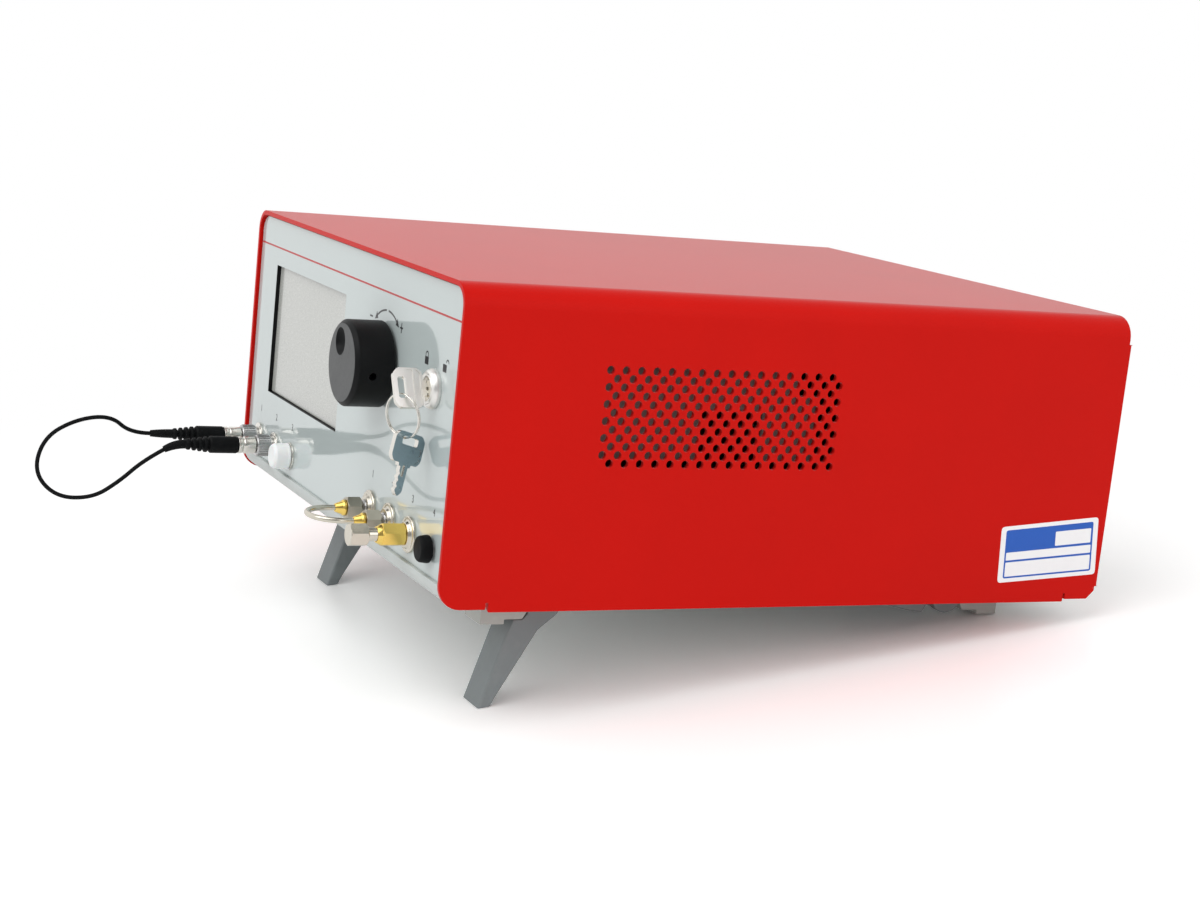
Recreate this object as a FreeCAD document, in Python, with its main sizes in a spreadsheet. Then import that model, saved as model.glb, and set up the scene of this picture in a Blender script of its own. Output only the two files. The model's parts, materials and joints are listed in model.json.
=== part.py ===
"""A bench-top optical transmitter: a folded case on flip-leg feet, with its display, push knob, key
switch, fibre and radio sockets, patch lead, jumper and inner modules, each as its own sub-part."""

import FreeCAD
import Part
import math
import os
import Sketcher
from FreeCAD import Placement, Rotation, Vector

# The case frame has x to the right seen from the front, y to the back and z up, with its zero at the
# middle of the cover's front bottom edge. Every size is in millimetres.
SIZES = {
    "case_width": 250.0,
    "case_depth": 296.0,
    "case_height": 120.0,
    "case_tilt": 8.0,
    "sheet": 2.0,
    "bend": 9.0,
    "flange": 12.0,
    "flange_front": 19.0,
    "flange_rear": 280.7,
    "relief_tall": 3.6,
    "relief_wide": 1.0,
    "end_raise": 1.8,
    "rear_corner": 3.5,
    "vent_radius": 1.76,
    "vent_pitch": 6.35,
    "vent_columns": 16,
    "vent_rows": 12,
    "vent_first_y": 59.7,
    "vent_first_z": 91.0,
    "tray_bottom": 4.4,
    "tray_sheet": 1.5,
    "tray_side": 34.0,
    "lip_front": 0.2,
    "lip_low": 1.8,
    "lip_bend": 8.8,
    "lip_deep": 12.5,
    "panel_half": 122.5,
    "panel_front": 1.5,
    "panel_thick": 3.0,
    "panel_bottom": 10.2,
    "panel_top": 117.5,
    "rear_thick": 2.0,
    "window_x": -51.0,
    "window_z": 69.35,
    "window_wide": 94.0,
    "window_tall": 56.7,
    "glass_wide": 105.5,
    "glass_tall": 67.2,
    "controls_z": 77.7,
    "knob_x": 45.1,
    "knob_radius": 16.8,
    "knob_length": 17.1,
    "knob_stands": -8.6,
    "shaft_radius": 3.0,
    "lock_x": 99.3,
    "bezel_radius": 7.5,
    "bezel_out": 3.2,
    "plug_radius": 4.5,
    "key_turn": 30.0,
    "key_wide": 15.4,
    "key_thick": 1.8,
    "key_start": 4.4,
    "key_end": 15.8,
    "blade_deep": 7.6,
    "blade_wide": 3.8,
    "slot_long": 8.2,
    "slot_wide": 3.0,
    "slot_at": 12.7,
    "ring_radius": 8.2,
    "ring_wire": 0.6,
    "fibre_x": -105.2,
    "fibre_step": 22.9,
    "fibre_z": 19.2,
    "fibre_barrel": 4.0,
    "boot_start": 17.0,
    "lead_radius": 0.9,
    "boot_bend": 19.0,
    "radio_x": 44.1,
    "radio_step": 22.1,
    "radio_z": 20.4,
    "radio_barrel": 3.1,
    "jumper_radius": 1.1,
    "jumper_reach": 30.0,
    "foot_x": 90.6,
    "foot_wide": 15.5,
    "foot_mirror": 296.3,
    "pivot_y": 55.0,
    "pivot_z": -4.0,
    "knuckle": 7.5,
    "tongue_half": 3.0,
    "pin_radius": 2.0,
    "leg_fold": 120.0,
    "leg_bevel": 0.6,
    "pad_bottom": -12.7,
    "fan_x": 60.0,
    "fan_z": 66.0,
    "fan_side": 60.0,
    "fan_deep": 15.0,
    "fan_bore": 28.2,
    "inlet_x": -80.0,
    "inlet_z": 62.0,
    "rear_row_z": 30.0,
    "usb_x": -30.0,
    "interlock_x": 0.0,
    "earth_x": 22.0,
    "earth_bore": 2.0,
}

os.makedirs("parts", exist_ok=True)
doc = FreeCAD.newDocument("transmitter")
sheet = doc.addObject("Spreadsheet::Sheet", "Sizes")
for line, (alias, number) in enumerate(SIZES.items(), start=1):
    sheet.set(f"A{line}", alias)
    sheet.set(f"B{line}", str(number))
    sheet.setAlias(f"B{line}", alias)
doc.recompute()


def text_of(number):
    """A number as the text of an expression."""
    return number.text if isinstance(number, Size) else f"({float(number):.6f})"


class Size(float):
    """A number that keeps the sheet cells it was worked out from."""

    def __new__(cls, number, text):
        item = super().__new__(cls, number)
        item.text = text
        return item

    def __add__(self, other):
        return Size(float(self) + float(other), f"({self.text} + {text_of(other)})")

    __radd__ = __add__

    def __neg__(self):
        return Size(-float(self), f"(-1 * {self.text})")

    def __sub__(self, other):
        return self + (-other)

    def __rsub__(self, other):
        return -self + other

    def __mul__(self, other):
        return Size(float(self) * float(other), f"({self.text} * {text_of(other)})")

    __rmul__ = __mul__

    def __truediv__(self, other):
        return Size(float(self) / float(other), f"({self.text} / {text_of(other)})")


class Sheet:
    """The cells of the sheet as sizes."""

    def __getattr__(self, alias):
        return Size(SIZES[alias], f"Sizes.{alias}")


S = Sheet()


def bind(thing, **sizes):
    """Ties properties to sizes."""
    for name, number in sizes.items():
        thing.setExpression(name, text_of(number))


def move(thing, x=0.0, y=0.0, z=0.0):
    """Ties the base point of a thing's placement to sizes."""
    for axis, number in zip("xyz", (x, y, z)):
        thing.setExpression(f"Placement.Base.{axis}", text_of(number))


def block(x, y, z):
    """A box between two limits on each axis."""
    thing = doc.addObject("Part::Box", "Block")
    bind(thing, Length=x[1] - x[0], Width=y[1] - y[0], Height=z[1] - z[0])
    move(thing, x[0], y[0], z[0])
    return thing


TURNS = {"x": Rotation(Vector(0, 1, 0), 90), "y": Rotation(Vector(1, 0, 0), -90), "z": Rotation()}


def along(thing, axis, start, at):
    """Lays a thing drawn on z along an axis, from a start, through a point of the plane across it."""
    thing.Placement = Placement(Vector(), TURNS[axis])
    spot = {"x": (start, *at), "y": (at[0], start, at[1]), "z": (*at, start)}[axis]
    move(thing, *spot)
    return thing


def rod(radius, span, at=(0.0, 0.0), axis="z"):
    """A cylinder along an axis between two limits."""
    thing = doc.addObject("Part::Cylinder", "Rod")
    bind(thing, Radius=radius, Height=span[1] - span[0])
    return along(thing, axis, span[0], at)


def hexagon(across, span, at=(0.0, 0.0)):
    """A hexagonal bar along z, given across its flats."""
    thing = doc.addObject("Part::Prism", "Hexagon")
    thing.Polygon = 6
    bind(thing, Circumradius=across / math.sqrt(3), Height=span[1] - span[0])
    return along(thing, "z", span[0], at)


def fuse(*things):
    """Things joined as one."""
    thing = doc.addObject("Part::MultiFuse", "Fuse")
    thing.Shapes = list(things)
    thing.Refine = True
    return thing


def cut(base, *tools):
    """A thing with others taken away."""
    thing = doc.addObject("Part::Cut", "Cut")
    thing.Base = base
    thing.Tool = tools[0] if len(tools) == 1 else group(*tools)
    thing.Refine = True
    return thing


def group(*things):
    """Things that stay apart in one sub-part."""
    thing = doc.addObject("Part::Compound", "Group")
    thing.Links = list(things)
    return thing


def eased(kind, base, size, test):
    """A thing with the edges whose middle passes a test eased by a fillet or a chamfer."""
    doc.recompute()
    thing = doc.addObject(kind, "Eased")
    thing.Base = base
    edges = []
    for count, edge in enumerate(base.Shape.Edges, start=1):
        if test(edge.CenterOfMass):
            edges.append((count, float(size), float(size)))
    thing.Edges = edges
    return thing


def rounded(base, radius, test):
    """A thing with some edges rounded."""
    return eased("Part::Fillet", base, radius, test)


def bevelled(base, size, test):
    """A thing with some edges chamfered."""
    return eased("Part::Chamfer", base, size, test)


def sketch_on(body, role, loops):
    """A sketch of closed loops on one of a body's own planes, each corner tied to its two sizes."""
    plane = next(item for item in body.Origin.OriginFeatures if item.Role == role)
    sketch = body.newObject("Sketcher::SketchObject", "Sketch")
    sketch.AttachmentSupport = (plane, [""])
    sketch.MapMode = "FlatFace"
    for loop in loops:
        first = sketch.GeometryCount
        total = len(loop)
        for count, (across, up) in enumerate(loop):
            other = loop[(count + 1) % total]
            ends = [Vector(float(across), float(up), 0), Vector(float(other[0]), float(other[1]), 0)]
            sketch.addGeometry(Part.LineSegment(*ends))
        for count in range(total):
            after = first + (count + 1) % total
            sketch.addConstraint(Sketcher.Constraint("Coincident", first + count, 2, after, 1))
        for count, corner in enumerate(loop):
            for kind, number in zip(("DistanceX", "DistanceY"), corner):
                made = Sketcher.Constraint(kind, -1, 1, first + count, 1, float(number))
                place = sketch.addConstraint(made)
                if isinstance(number, Size):
                    sketch.setExpression(f"Constraints[{place}]", number.text)
    return sketch


def turned(profile):
    """A body turned about z from a closed half profile of radius and height pairs."""
    body = doc.addObject("PartDesign::Body", "Turned")
    sketch = sketch_on(body, "XZ_Plane", [profile])
    spin = body.newObject("PartDesign::Revolution", "Turn")
    spin.Profile = sketch
    spin.ReferenceAxis = (sketch, ["V_Axis"])
    spin.Angle = 360
    return body


def padded(loops, width, role="YZ_Plane"):
    """A body padded to both sides of one of its own planes."""
    body = doc.addObject("PartDesign::Body", "Padded")
    pad = body.newObject("PartDesign::Pad", "Pad")
    pad.Profile = sketch_on(body, role, loops)
    pad.SideType = "Symmetric"
    bind(pad, Length=width)
    body.Tip = pad
    return body


def shifted(thing, x=0.0, y=0.0, z=0.0, turn=None):
    """A thing set at a place in the frame of its sub-part."""
    thing.Placement = Placement(Vector(float(x), float(y), float(z)), turn or Rotation())
    return thing


def arc(across, up, radius, first, last, steps=8):
    """The points of an arc about a centre, from one angle to another in degrees."""
    angles = [math.radians(first + (last - first) * count / steps) for count in range(steps + 1)]
    return [(across + radius * math.cos(angle), up + radius * math.sin(angle)) for angle in angles]


def row(maker, total, step):
    """A group of like things in a line along x."""
    return group(*[shifted(maker(), x=step * count) for count in range(total)])


CASE = Placement(Vector(), Rotation(Vector(1, 0, 0), -SIZES["case_tilt"]))
REAR_FACE = S.case_depth - S.sheet
NODES = []


def in_case(x=0.0, y=0.0, z=0.0, turn=None):
    """The placement of a sub-part in the tilted case."""
    return CASE.multiply(Placement(Vector(float(x), float(y), float(z)), turn or Rotation()))


def on_front(x, z):
    """A frame on the front panel's face: x right, y up, z outwards."""
    return in_case(x, S.panel_front, z, Rotation(Vector(1, 0, 0), 90))


def on_rear(x, z):
    """A frame on the rear panel's face: x to the left of the case, y up, z outwards."""
    facing = Rotation(Vector(-1, 0, 0), Vector(0, 0, 1), Vector(0, 1, 0), "ZXY")
    return in_case(x, REAR_FACE, z, facing)


def node(label, thing, placement):
    """Names a finished sub-part and sets it in place."""
    thing.Label = label
    NODES.append((thing, placement))
    return thing


# Case: a folded cover over a tray, closed by a front and a rear panel.
half = S.case_width / 2
deep = S.case_depth
inner = half - S.sheet


def make_cover():
    """The folded cover with inward flanges below and behind, and the field of vents."""

    def near(middle, across, up):
        return abs(abs(middle.x) - float(across)) < 0.01 and abs(middle.z - float(up)) < 0.01

    def outer_edges(middle):
        return near(middle, half, S.case_height)

    def inner_edges(middle):
        return near(middle, inner, S.case_height - S.sheet)

    shell = block((-half, half), (0.0, deep), (0.0, S.case_height))
    hollow = block((-inner, inner), (-10.0, deep + 10), (-10.0, S.case_height - S.sheet))
    cover = cut(rounded(shell, S.bend, outer_edges), rounded(hollow, S.bend - S.sheet, inner_edges))
    edge_low = half - S.flange
    front_end = S.flange_front + S.relief_wide
    rear_end = S.flange_rear - S.relief_wide / 2
    pieces = [cover]
    for low, high in ((-inner - 0.5, -edge_low), (edge_low, inner + 0.5)):
        pieces.append(block((low, high), (front_end, rear_end), (0.0, S.sheet)))
        pieces.append(block((low, high), (deep - S.sheet, deep), (S.rear_corner + 4, S.case_height - 11)))
    top = (S.case_height - 12, S.case_height - S.sheet + 0.5)
    pieces.append(block((-edge_low, edge_low), (deep - S.sheet, deep), top))
    through = (-half - 1, half + 1)
    front_corner = [(-1.0, S.end_raise - 1), (-1.0, S.end_raise + S.bend)]
    front_corner += arc(S.bend, S.end_raise + S.bend, S.bend, 180, 270)
    front_corner.append((S.bend, S.end_raise - 1))
    rear_corner = [
        (deep + 1, S.end_raise - 1),
        (deep + 1, S.end_raise + S.rear_corner),
        (deep, S.end_raise + S.rear_corner),
        (deep - S.rear_corner, S.end_raise),
        (deep - S.rear_corner, S.end_raise - 1),
    ]
    tools = [
        block(through, (S.flange_front, front_end), (-1.0, S.relief_tall)),
        block(through, (rear_end, rear_end + S.relief_wide), (-1.0, S.relief_tall)),
        block(through, (S.flange_rear, deep + 1), (-1.0, S.end_raise)),
        block(through, (-1.0, S.flange_front + 1), (-1.0, S.end_raise)),
        padded([front_corner], S.case_width + 2),
        padded([rear_corner], S.case_width + 2),
    ]
    for line in range(SIZES["vent_rows"]):
        for column in range(SIZES["vent_columns"]):
            hole = doc.addObject("Part::Prism", "Vent")
            hole.Polygon = 6
            bind(hole, Circumradius=S.vent_radius, Height=S.sheet + 4)
            across = S.vent_first_y + S.vent_pitch * (column + 0.5 * (line % 2))
            along(hole, "x", inner - 2, (across, S.vent_first_z - S.vent_pitch * (0.5 * line)))
            tools.append(hole)
    for x, z in SCREWS:
        tools.append(rod(1.7, (deep - 4, deep + 1), (x, z), "y"))
    return cut(fuse(*pieces), *tools)


SCREWS = [(-118.0, 28.0), (118.0, 28.0), (-118.0, 88.0), (118.0, 88.0), (-50.0, 112.5), (50.0, 112.5)]


def make_tray():
    """The tray with its rolled front lip, ears behind the panel, stand-offs and holes for the feet."""
    low = S.tray_bottom
    floor = low + S.tray_sheet
    wide = inner - 0.3
    step = S.lip_deep - S.tray_sheet
    bend = S.lip_front + S.lip_bend, S.lip_low + S.lip_bend
    lip = arc(*bend, S.lip_bend, 184, 270)
    lip += [(S.lip_deep, S.lip_low), (S.lip_deep, floor), (step, floor), (step, S.lip_low + S.tray_sheet)]
    lip += arc(*bend, S.lip_bend - S.tray_sheet, 270, 184)
    pieces = [
        padded([lip], S.panel_half * 2),
        block((-wide, wide), (step, deep - 4), (low, floor)),
        block((-S.panel_half, S.panel_half), (deep - 5.5, deep - 4), (low, 16.0)),
    ]
    behind = S.panel_front + S.panel_thick
    for side in (-1, 1):
        ends = sorted((wide * side, (wide - S.tray_sheet) * side))
        pieces.append(block(ends, (behind, deep - 5.5), (low, S.tray_side)))
        ends = sorted((wide * side, (wide - 5.2) * side))
        pieces.append(block(ends, (behind, behind + 1.5), (low, 60.0)))
    for x, y in BOARD_POSTS:
        pieces.append(rod(3.0, (floor - 0.5, 13.0), (x, y)))
    holes = []
    for side in (-1, 1):
        for y in (PEG_Y, S.foot_mirror - PEG_Y):
            holes.append(rod(2.1, (low - 1, floor + 1), (S.foot_x * side, y)))
    return cut(fuse(*pieces), *holes)


PEG_Y = 38.0
BOARD_POSTS = [(-14.0, 146.0), (94.0, 146.0), (-14.0, 244.0), (94.0, 244.0)]


def make_panel(front, back, bottom):
    """A flat panel with rounded top corners."""
    plate = block((-S.panel_half, S.panel_half), (front, back), (bottom, S.panel_top))
    return rounded(plate, 7.5, lambda middle: middle.z > 117 and abs(middle.x) > 122)


def make_front_panel():
    """The front plate with its window, control and socket holes, and studs for the display."""
    front = S.panel_front
    back = front + S.panel_thick
    reach = (front - 1, back + 1)
    wide, tall = S.window_wide / 2, S.window_tall / 2
    tools = [block((S.window_x - wide, S.window_x + wide), reach, (S.window_z - tall, S.window_z + tall))]
    tools.append(rod(3.6, reach, (S.knob_x, S.controls_z), "y"))
    tools.append(rod(6.15, reach, (S.lock_x, S.controls_z), "y"))
    for count in range(3):
        tools.append(rod(S.fibre_barrel + 0.15, reach, (S.fibre_x + S.fibre_step * count, S.fibre_z), "y"))
    for count in range(4):
        tools.append(rod(S.radio_barrel + 0.15, reach, (S.radio_x + S.radio_step * count, S.radio_z), "y"))
    plate = cut(make_panel(front, back, S.panel_bottom), *tools)
    studs = [
        rod(2.0, (back - 0.5, back + 4.2), (S.window_x + 57 * side, S.window_z + 31 * end), "y")
        for side in (-1, 1)
        for end in (-1, 1)
    ]
    return fuse(plate, *studs)


def make_rear_panel():
    """The rear plate with openings for the inlet, the fan and the row of sockets."""
    back = REAR_FACE
    reach = (back - 4, back + 1)
    tools = [rod(S.fan_bore, reach, (S.fan_x, S.fan_z), "y")]
    tools.append(block((S.inlet_x - 13.7, S.inlet_x + 13.7), reach, (S.inlet_z - 27.2, S.inlet_z + 27.2)))
    tools.append(block((S.usb_x - 6.2, S.usb_x + 6.2), reach, (S.rear_row_z - 5.6, S.rear_row_z + 5.6)))
    tools.append(rod(3.2, reach, (S.interlock_x, S.rear_row_z), "y"))
    tools.append(rod(4.2, reach, (S.earth_x, S.rear_row_z), "y"))
    for x, z in SCREWS:
        tools.append(rod(1.6, reach, (x, z), "y"))
    return cut(make_panel(back - S.rear_thick, back, S.tray_bottom), *tools)


def make_screw():
    """A pan-head screw, its head outwards on z."""
    return turned([(0, -5), (1.5, -5), (1.5, 0), (2.8, 0), (2.8, 1.2), (2.0, 2.1), (0, 2.1)])


node("top_cover", make_cover(), in_case())
node("chassis_tray", make_tray(), in_case())
node("front_panel", make_front_panel(), in_case())
node("rear_panel", make_rear_panel(), in_case())
screws = group(*[shifted(make_screw(), x=-x, y=z) for x, z in SCREWS])
cover_screw_frame = on_rear(0, 0).multiply(Placement(Vector(0, 0, float(S.sheet)), Rotation()))
node("cover_screws", screws, cover_screw_frame)

# A grey plate stands behind the vents, on one leg ahead of them.
plate_side = [(44, 55.6), (104.5, 55.6), (104.5, 75.4), (131.5, 75.4), (131.5, 55.6), (155.3, 55.6)]
plate_side += [(155.3, 82), (145.8, 82), (145.8, 99), (44, 99)]
baffle = fuse(
    padded([plate_side], 1.5),
    block((-0.75, 0.75), (44.0, 56.5), (S.tray_bottom + S.tray_sheet, 60.0)),
    block((-12.0, 0.75), (44.0, 56.5), (S.tray_bottom + S.tray_sheet, S.tray_bottom + S.tray_sheet * 2)),
)
node("vent_baffle", baffle, in_case(x=114.0))

# Feet: a block with a tongue holds each forked flip leg on a pin.
tan_tilt = math.tan(math.radians(SIZES["case_tilt"]))
step_z = -10.5
tip_front = 31.5
tip_low = float(S.pad_bottom) - (float(S.foot_mirror) - 30 - tip_front) * tan_tilt
PIVOT = (S.pivot_y, S.pivot_z)


def make_foot():
    """The block of a foot with its tongue, snap peg and recess for the pad."""
    low = S.tray_bottom
    side = [(29, low), (29, -12.3), (39, -12.3), (39, step_z)]
    side += [(46.4, step_z), (48, -7.9), (47, -5), (47, low)]
    width = (-S.tongue_half, S.tongue_half)
    pieces = [
        padded([side], S.foot_wide),
        block(width, (46.5, S.pivot_y), (-8.5, low)),
        block(width, (46.5, S.pivot_y + 5), (S.pivot_z, low)),
        rod(S.knuckle - 1.2, width, PIVOT, "x"),
        rod(2.0, (low - 0.5, low + 3.5), (0.0, PEG_Y)),
    ]
    bore = rod(S.pin_radius + 0.02, (-S.foot_wide, S.foot_wide), PIVOT, "x")
    recess = block((-5.05, 5.05), (29.95, 34.05), (S.pad_bottom - 1, -11.5))
    return cut(fuse(*pieces), bore, recess)


def make_leg():
    """A forked leg about its pivot, as it stands when it is down."""
    corners = [
        (43, step_z - 0.15),
        (46.6, step_z - 0.15),
        (48.9, -8),
        (55, -4),
        (60.3, -9.3),
        (53.4, -15),
        (38.8, -40.4),
        (tip_front + 5, tip_low + 5 * tan_tilt),
        (tip_front, tip_low),
        (40.1, -17.3),
    ]
    side = [(across - S.pivot_y, up - S.pivot_z) for across, up in corners]
    width = (-S.foot_wide / 2, S.foot_wide / 2)
    fork = rod(10.2, (-S.tongue_half - 0.3, S.tongue_half + 0.3), axis="x")
    bore = rod(S.pin_radius + 0.06, (-S.foot_wide, S.foot_wide), axis="x")
    middle = Vector(0, float(side[-1][0] + side[-2][0]) / 2, float(side[-1][1] + side[-2][1]) / 2)

    def front_edges(place):
        return abs(place.x) > 1 and place.distanceToLine(middle, Vector(1, 0, 0)) < 0.01

    bar = bevelled(padded([side], S.foot_wide), S.leg_bevel, front_edges)
    return cut(fuse(bar, rod(S.knuckle, width, axis="x")), fork, bore)


pins = []
pads = []
for end, side in (("front", -1), ("front", 1), ("rear", -1), ("rear", 1)):
    rear = end == "rear"
    where = "left" if side < 0 else "right"
    about = Rotation(Vector(0, 0, 1), 180 if rear else 0)
    stand = Placement(Vector(float(S.foot_x) * side, float(S.foot_mirror) if rear else 0.0, 0), about)
    fold = Rotation(Vector(1, 0, 0), SIZES["leg_fold"] if rear else 0)
    hinge = stand.multiply(Placement(Vector(0, float(S.pivot_y), float(S.pivot_z)), fold))
    node(f"{end}_{where}_foot", make_foot(), CASE.multiply(stand))
    node(f"{end}_{where}_leg", make_leg(), CASE.multiply(hinge))
    pin = group(rod(S.pin_radius, (-S.foot_wide / 2 + 0.2, S.foot_wide / 2 - 0.2), axis="x"))
    pin.Placement = hinge
    pins.append(pin)
    pad = group(block((-5.0, 5.0), (30.0, 34.0), (S.pad_bottom, -11.5)))
    pad.Placement = stand
    pads.append(pad)
node("leg_pins", group(*pins), in_case())
node("foot_pads", group(*pads), in_case())

# Display: a glass behind the window, and a module with its board on the panel's studs.
glass = (-S.glass_wide / 2, S.glass_wide / 2), (-S.glass_tall / 2, S.glass_tall / 2)
display_frame = on_front(S.window_x, S.window_z)
clear_x = S.window_wide / 2 - 0.2
clear_y = S.window_tall / 2 - 0.2
pane = block((-clear_x, clear_x), (-clear_y, clear_y), (-3.5, -1.7))
node("display_glass", fuse(block(*glass, (-4.2, -3.0)), pane), display_frame)
module = fuse(
    block(*glass, (-7.3, -4.25)),
    block((-61.0, 61.0), (-35.0, 35.0), (-8.9, -7.2)),
    block((-40.0, -10.0), (-15.0, 15.0), (-11.0, -8.8)),
    block((10.0, 45.0), (-25.0, -15.0), (-14.0, -8.8)),
)
node("display_module", module, display_frame)

# Knob: pressed and turned on a shaft that slides in the rotor of an encoder.
knob_frame = on_front(S.knob_x, S.controls_z)
shaft = S.shaft_radius
case_box = block((-6.5, 6.5), (-6.5, 6.5), (-10.0, -3.0))
encoder = cut(
    fuse(case_box, rod(3.5, (-3.5, 4.0))),
    rod(shaft + 0.06, (-9.0, 5.0)),
    rod(5.3, (-9.0, -5.0)),
)
node("encoder_body", encoder, knob_frame)
node("encoder_nut", cut(hexagon(10, (0.0, 2.0)), rod(3.55, (-1.0, 3.0))), knob_frame)
flat_bore = cut(rod(shaft + 0.05, (-10.0, 0.0)), block((2.05, 5.0), (-4.0, 4.0), (-11.0, 1.0)))
knob_turn = Placement(Vector(), Rotation(Vector(0, 0, 1), SIZES["knob_stands"]))
turned_frame = knob_frame.multiply(knob_turn)
node("encoder_rotor", cut(rod(5.0, (-8.8, -5.2)), flat_bore), turned_frame)
flat_shaft = cut(rod(shaft, (-8.2, 13.0)), block((2.0, 5.0), (-4.0, 4.0), (-9.0, 14.0)))
node("knob_shaft", flat_shaft, turned_frame)
wide = S.knob_radius
knob_profile = [
    (shaft + 0.02, 6),
    (9.5, 6),
    (9.5, 1),
    (wide - 0.6, 1),
    (wide, 1.6),
    (wide, S.knob_length - 1.6),
    (wide - 0.5, S.knob_length - 0.5),
    (wide - 1.6, S.knob_length),
    (0, S.knob_length),
    (0, 13.2),
    (shaft + 0.02, 13.2),
]
dimple = doc.addObject("Part::Sphere", "Dimple")
bind(dimple, Radius=6.4)
move(dimple, -4.3, 7.2, S.knob_length + 3.4)
knob = cut(turned(knob_profile), dimple, rod(1.5, (2.0, 20.0), (0.0, 10.0), "x"))
node("knob", knob, turned_frame)
node("knob_set_screw", group(rod(1.42, (2.05, 12.5), (0.0, 10.0), "x")), turned_frame)

# Key switch: a plug turns in the lock, and a flat key slides in the plug.
lock_frame = on_front(S.lock_x, S.controls_z)
barrel = 6.0
lock_profile = [
    (S.plug_radius + 0.05, -20),
    (0, -20),
    (0, -24),
    (barrel, -24),
    (barrel, 0),
    (S.bezel_radius, 0),
    (S.bezel_radius, 1.4),
    (S.bezel_radius - 1.1, S.bezel_out),
    (S.plug_radius + 0.05, S.bezel_out),
]
lock = fuse(turned(lock_profile), block((-7.0, 7.0), (-7.0, 7.0), (-34.0, -23.5)))
node("lock_body", lock, lock_frame)
node("lock_nut", cut(hexagon(15, (-6.0, -3.0)), rod(barrel + 0.05, (-7.0, -2.0))), lock_frame)
turn = Placement(Vector(), Rotation(Vector(0, 0, 1), SIZES["key_turn"]))
key_frame = lock_frame.multiply(turn)
thick = S.key_thick / 2 + 0.1
tall = S.blade_wide / 2 + 0.1
keyway = block((-thick, thick), (-tall, tall), (-S.blade_deep - 0.5, 5.0))
node("lock_plug", cut(rod(S.plug_radius, (-19.8, S.bezel_out - 0.2)), keyway), key_frame)


def make_key():
    """A flat key along z: a bow with a slot across its outer end, a shoulder and a notched blade."""
    side = S.key_wide / 2
    near = S.key_start
    far = S.key_end
    tip = -S.blade_deep
    blade = S.blade_wide / 2
    collar = blade + 1.1
    face = S.bezel_out
    outline = [(-side, near + 2), (-side + 1.6, near), (-collar, near), (-collar, face), (-blade, face)]
    for notch in (0.4, -2.0, -4.4):
        outline += [(-blade, notch + 0.9), (-blade + 0.8, notch), (-blade, notch - 0.9)]
    outline += [(-blade, tip + 1.6), (-blade + 1.6, tip), (blade - 1.6, tip), (blade, tip + 1.6)]
    outline += [(blade, face), (collar, face), (collar, near), (side - 1.6, near), (side, near + 2)]
    outline += [(side, far - 2), (side - 2, far), (-side + 2, far), (-side, far - 2)]
    across, up = S.slot_long / 2, S.slot_wide / 2
    middle = S.slot_at
    slot = [(-across, middle - up), (across, middle - up), (across, middle + up), (-across, middle + up)]
    return padded([outline, slot], S.key_thick)


node("key", make_key(), key_frame)
hang = key_frame.multVec(Vector(0.0, -2.2, float(S.slot_at)))
upward = Vector(0, 0, 1)
ring_across = math.radians(25)
ring_axis = Vector(-math.sin(ring_across), math.cos(ring_across), 0)
ring = doc.addObject("Part::Torus", "Ring")
bind(ring, Radius1=S.ring_radius, Radius2=S.ring_wire)
ring_centre = hang - upward * float(S.ring_radius)
node("key_ring", group(ring), Placement(ring_centre, Rotation(upward, ring_axis)))

# The spare key hangs on the ring by the end of its slot, so it leans with its blade away from the panel.
spare_across = math.radians(24.4)
spare_lean = math.radians(23.9)
spare_normal = Vector(math.cos(spare_across), math.sin(spare_across), 0)
level = upward.cross(spare_normal)
spare_side = level * math.cos(spare_lean) - upward * math.sin(spare_lean)
spare_long = level * math.sin(spare_lean) + upward * math.cos(spare_lean)
ring_low = ring_centre - upward * float(S.ring_radius)
spare_base = ring_low + spare_side * 2.9 - spare_long * (float(S.slot_at) + 0.7)
spare_turn = Rotation(spare_normal, spare_side, spare_long, "ZXY")
node("spare_key", make_key(), Placement(spare_base, spare_turn))

# Fibre sockets, the patch lead that loops from the first to the second, and a cap on the third.
screw_barrel = S.fibre_barrel
socket_profile = [
    (1.27, -14),
    (screw_barrel, -14),
    (screw_barrel, 0),
    (5.9, 0),
    (5.9, 1),
    (screw_barrel, 1),
    (screw_barrel, 7),
    (1.27, 7),
]
fibre_frame = on_front(S.fibre_x, S.fibre_z)
node("fibre_sockets", row(lambda: turned(socket_profile), 3, S.fibre_step), fibre_frame)


def make_back_nut():
    """The nut that holds a fibre socket from behind the panel."""
    return group(cut(hexagon(11, (-5.5, -3.0)), rod(screw_barrel + 0.05, (-6.0, -2.0))))


node("fibre_socket_nuts", row(make_back_nut, 3, S.fibre_step), fibre_frame)
boot = S.boot_start
plug_profile = [(0, 0.5), (1.25, 0.5), (1.25, 7.2), (2.9, 7.2)]
plug_profile += [(2.9, 9.2), (3.7, 9.2), (3.7, boot), (0, boot)]
node("lead_plugs", row(lambda: turned(plug_profile), 2, S.fibre_step), fibre_frame)
grip = screw_barrel + 0.06
nut_profile = [(grip, 2.4), (4.8, 2.4), (4.8, 9), (3, 9), (3, 8.1), (grip, 8.1)]
node("lead_nuts", row(lambda: turned(nut_profile), 2, S.fibre_step), fibre_frame)
boot_profile = [(0, boot), (3.75, boot), (3.75, boot + 13)]
for count in range(4):
    height = boot + 13 + 2.5 * count
    crest = 3.4 - 0.3 * count
    boot_profile += [(crest - 0.9, height + 0.2), (crest, height + 0.9), (crest, height + 2.1)]
boot_end = boot + 23
boot_profile += [(2, boot_end), (0, boot_end)]
straight = fuse(turned(boot_profile), rod(2.0, (boot_end - 0.5, boot_end + 10)))
tail = doc.addObject("Part::Torus", "Tail")
bind(tail, Radius1=S.boot_bend, Radius2=2.0)
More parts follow.
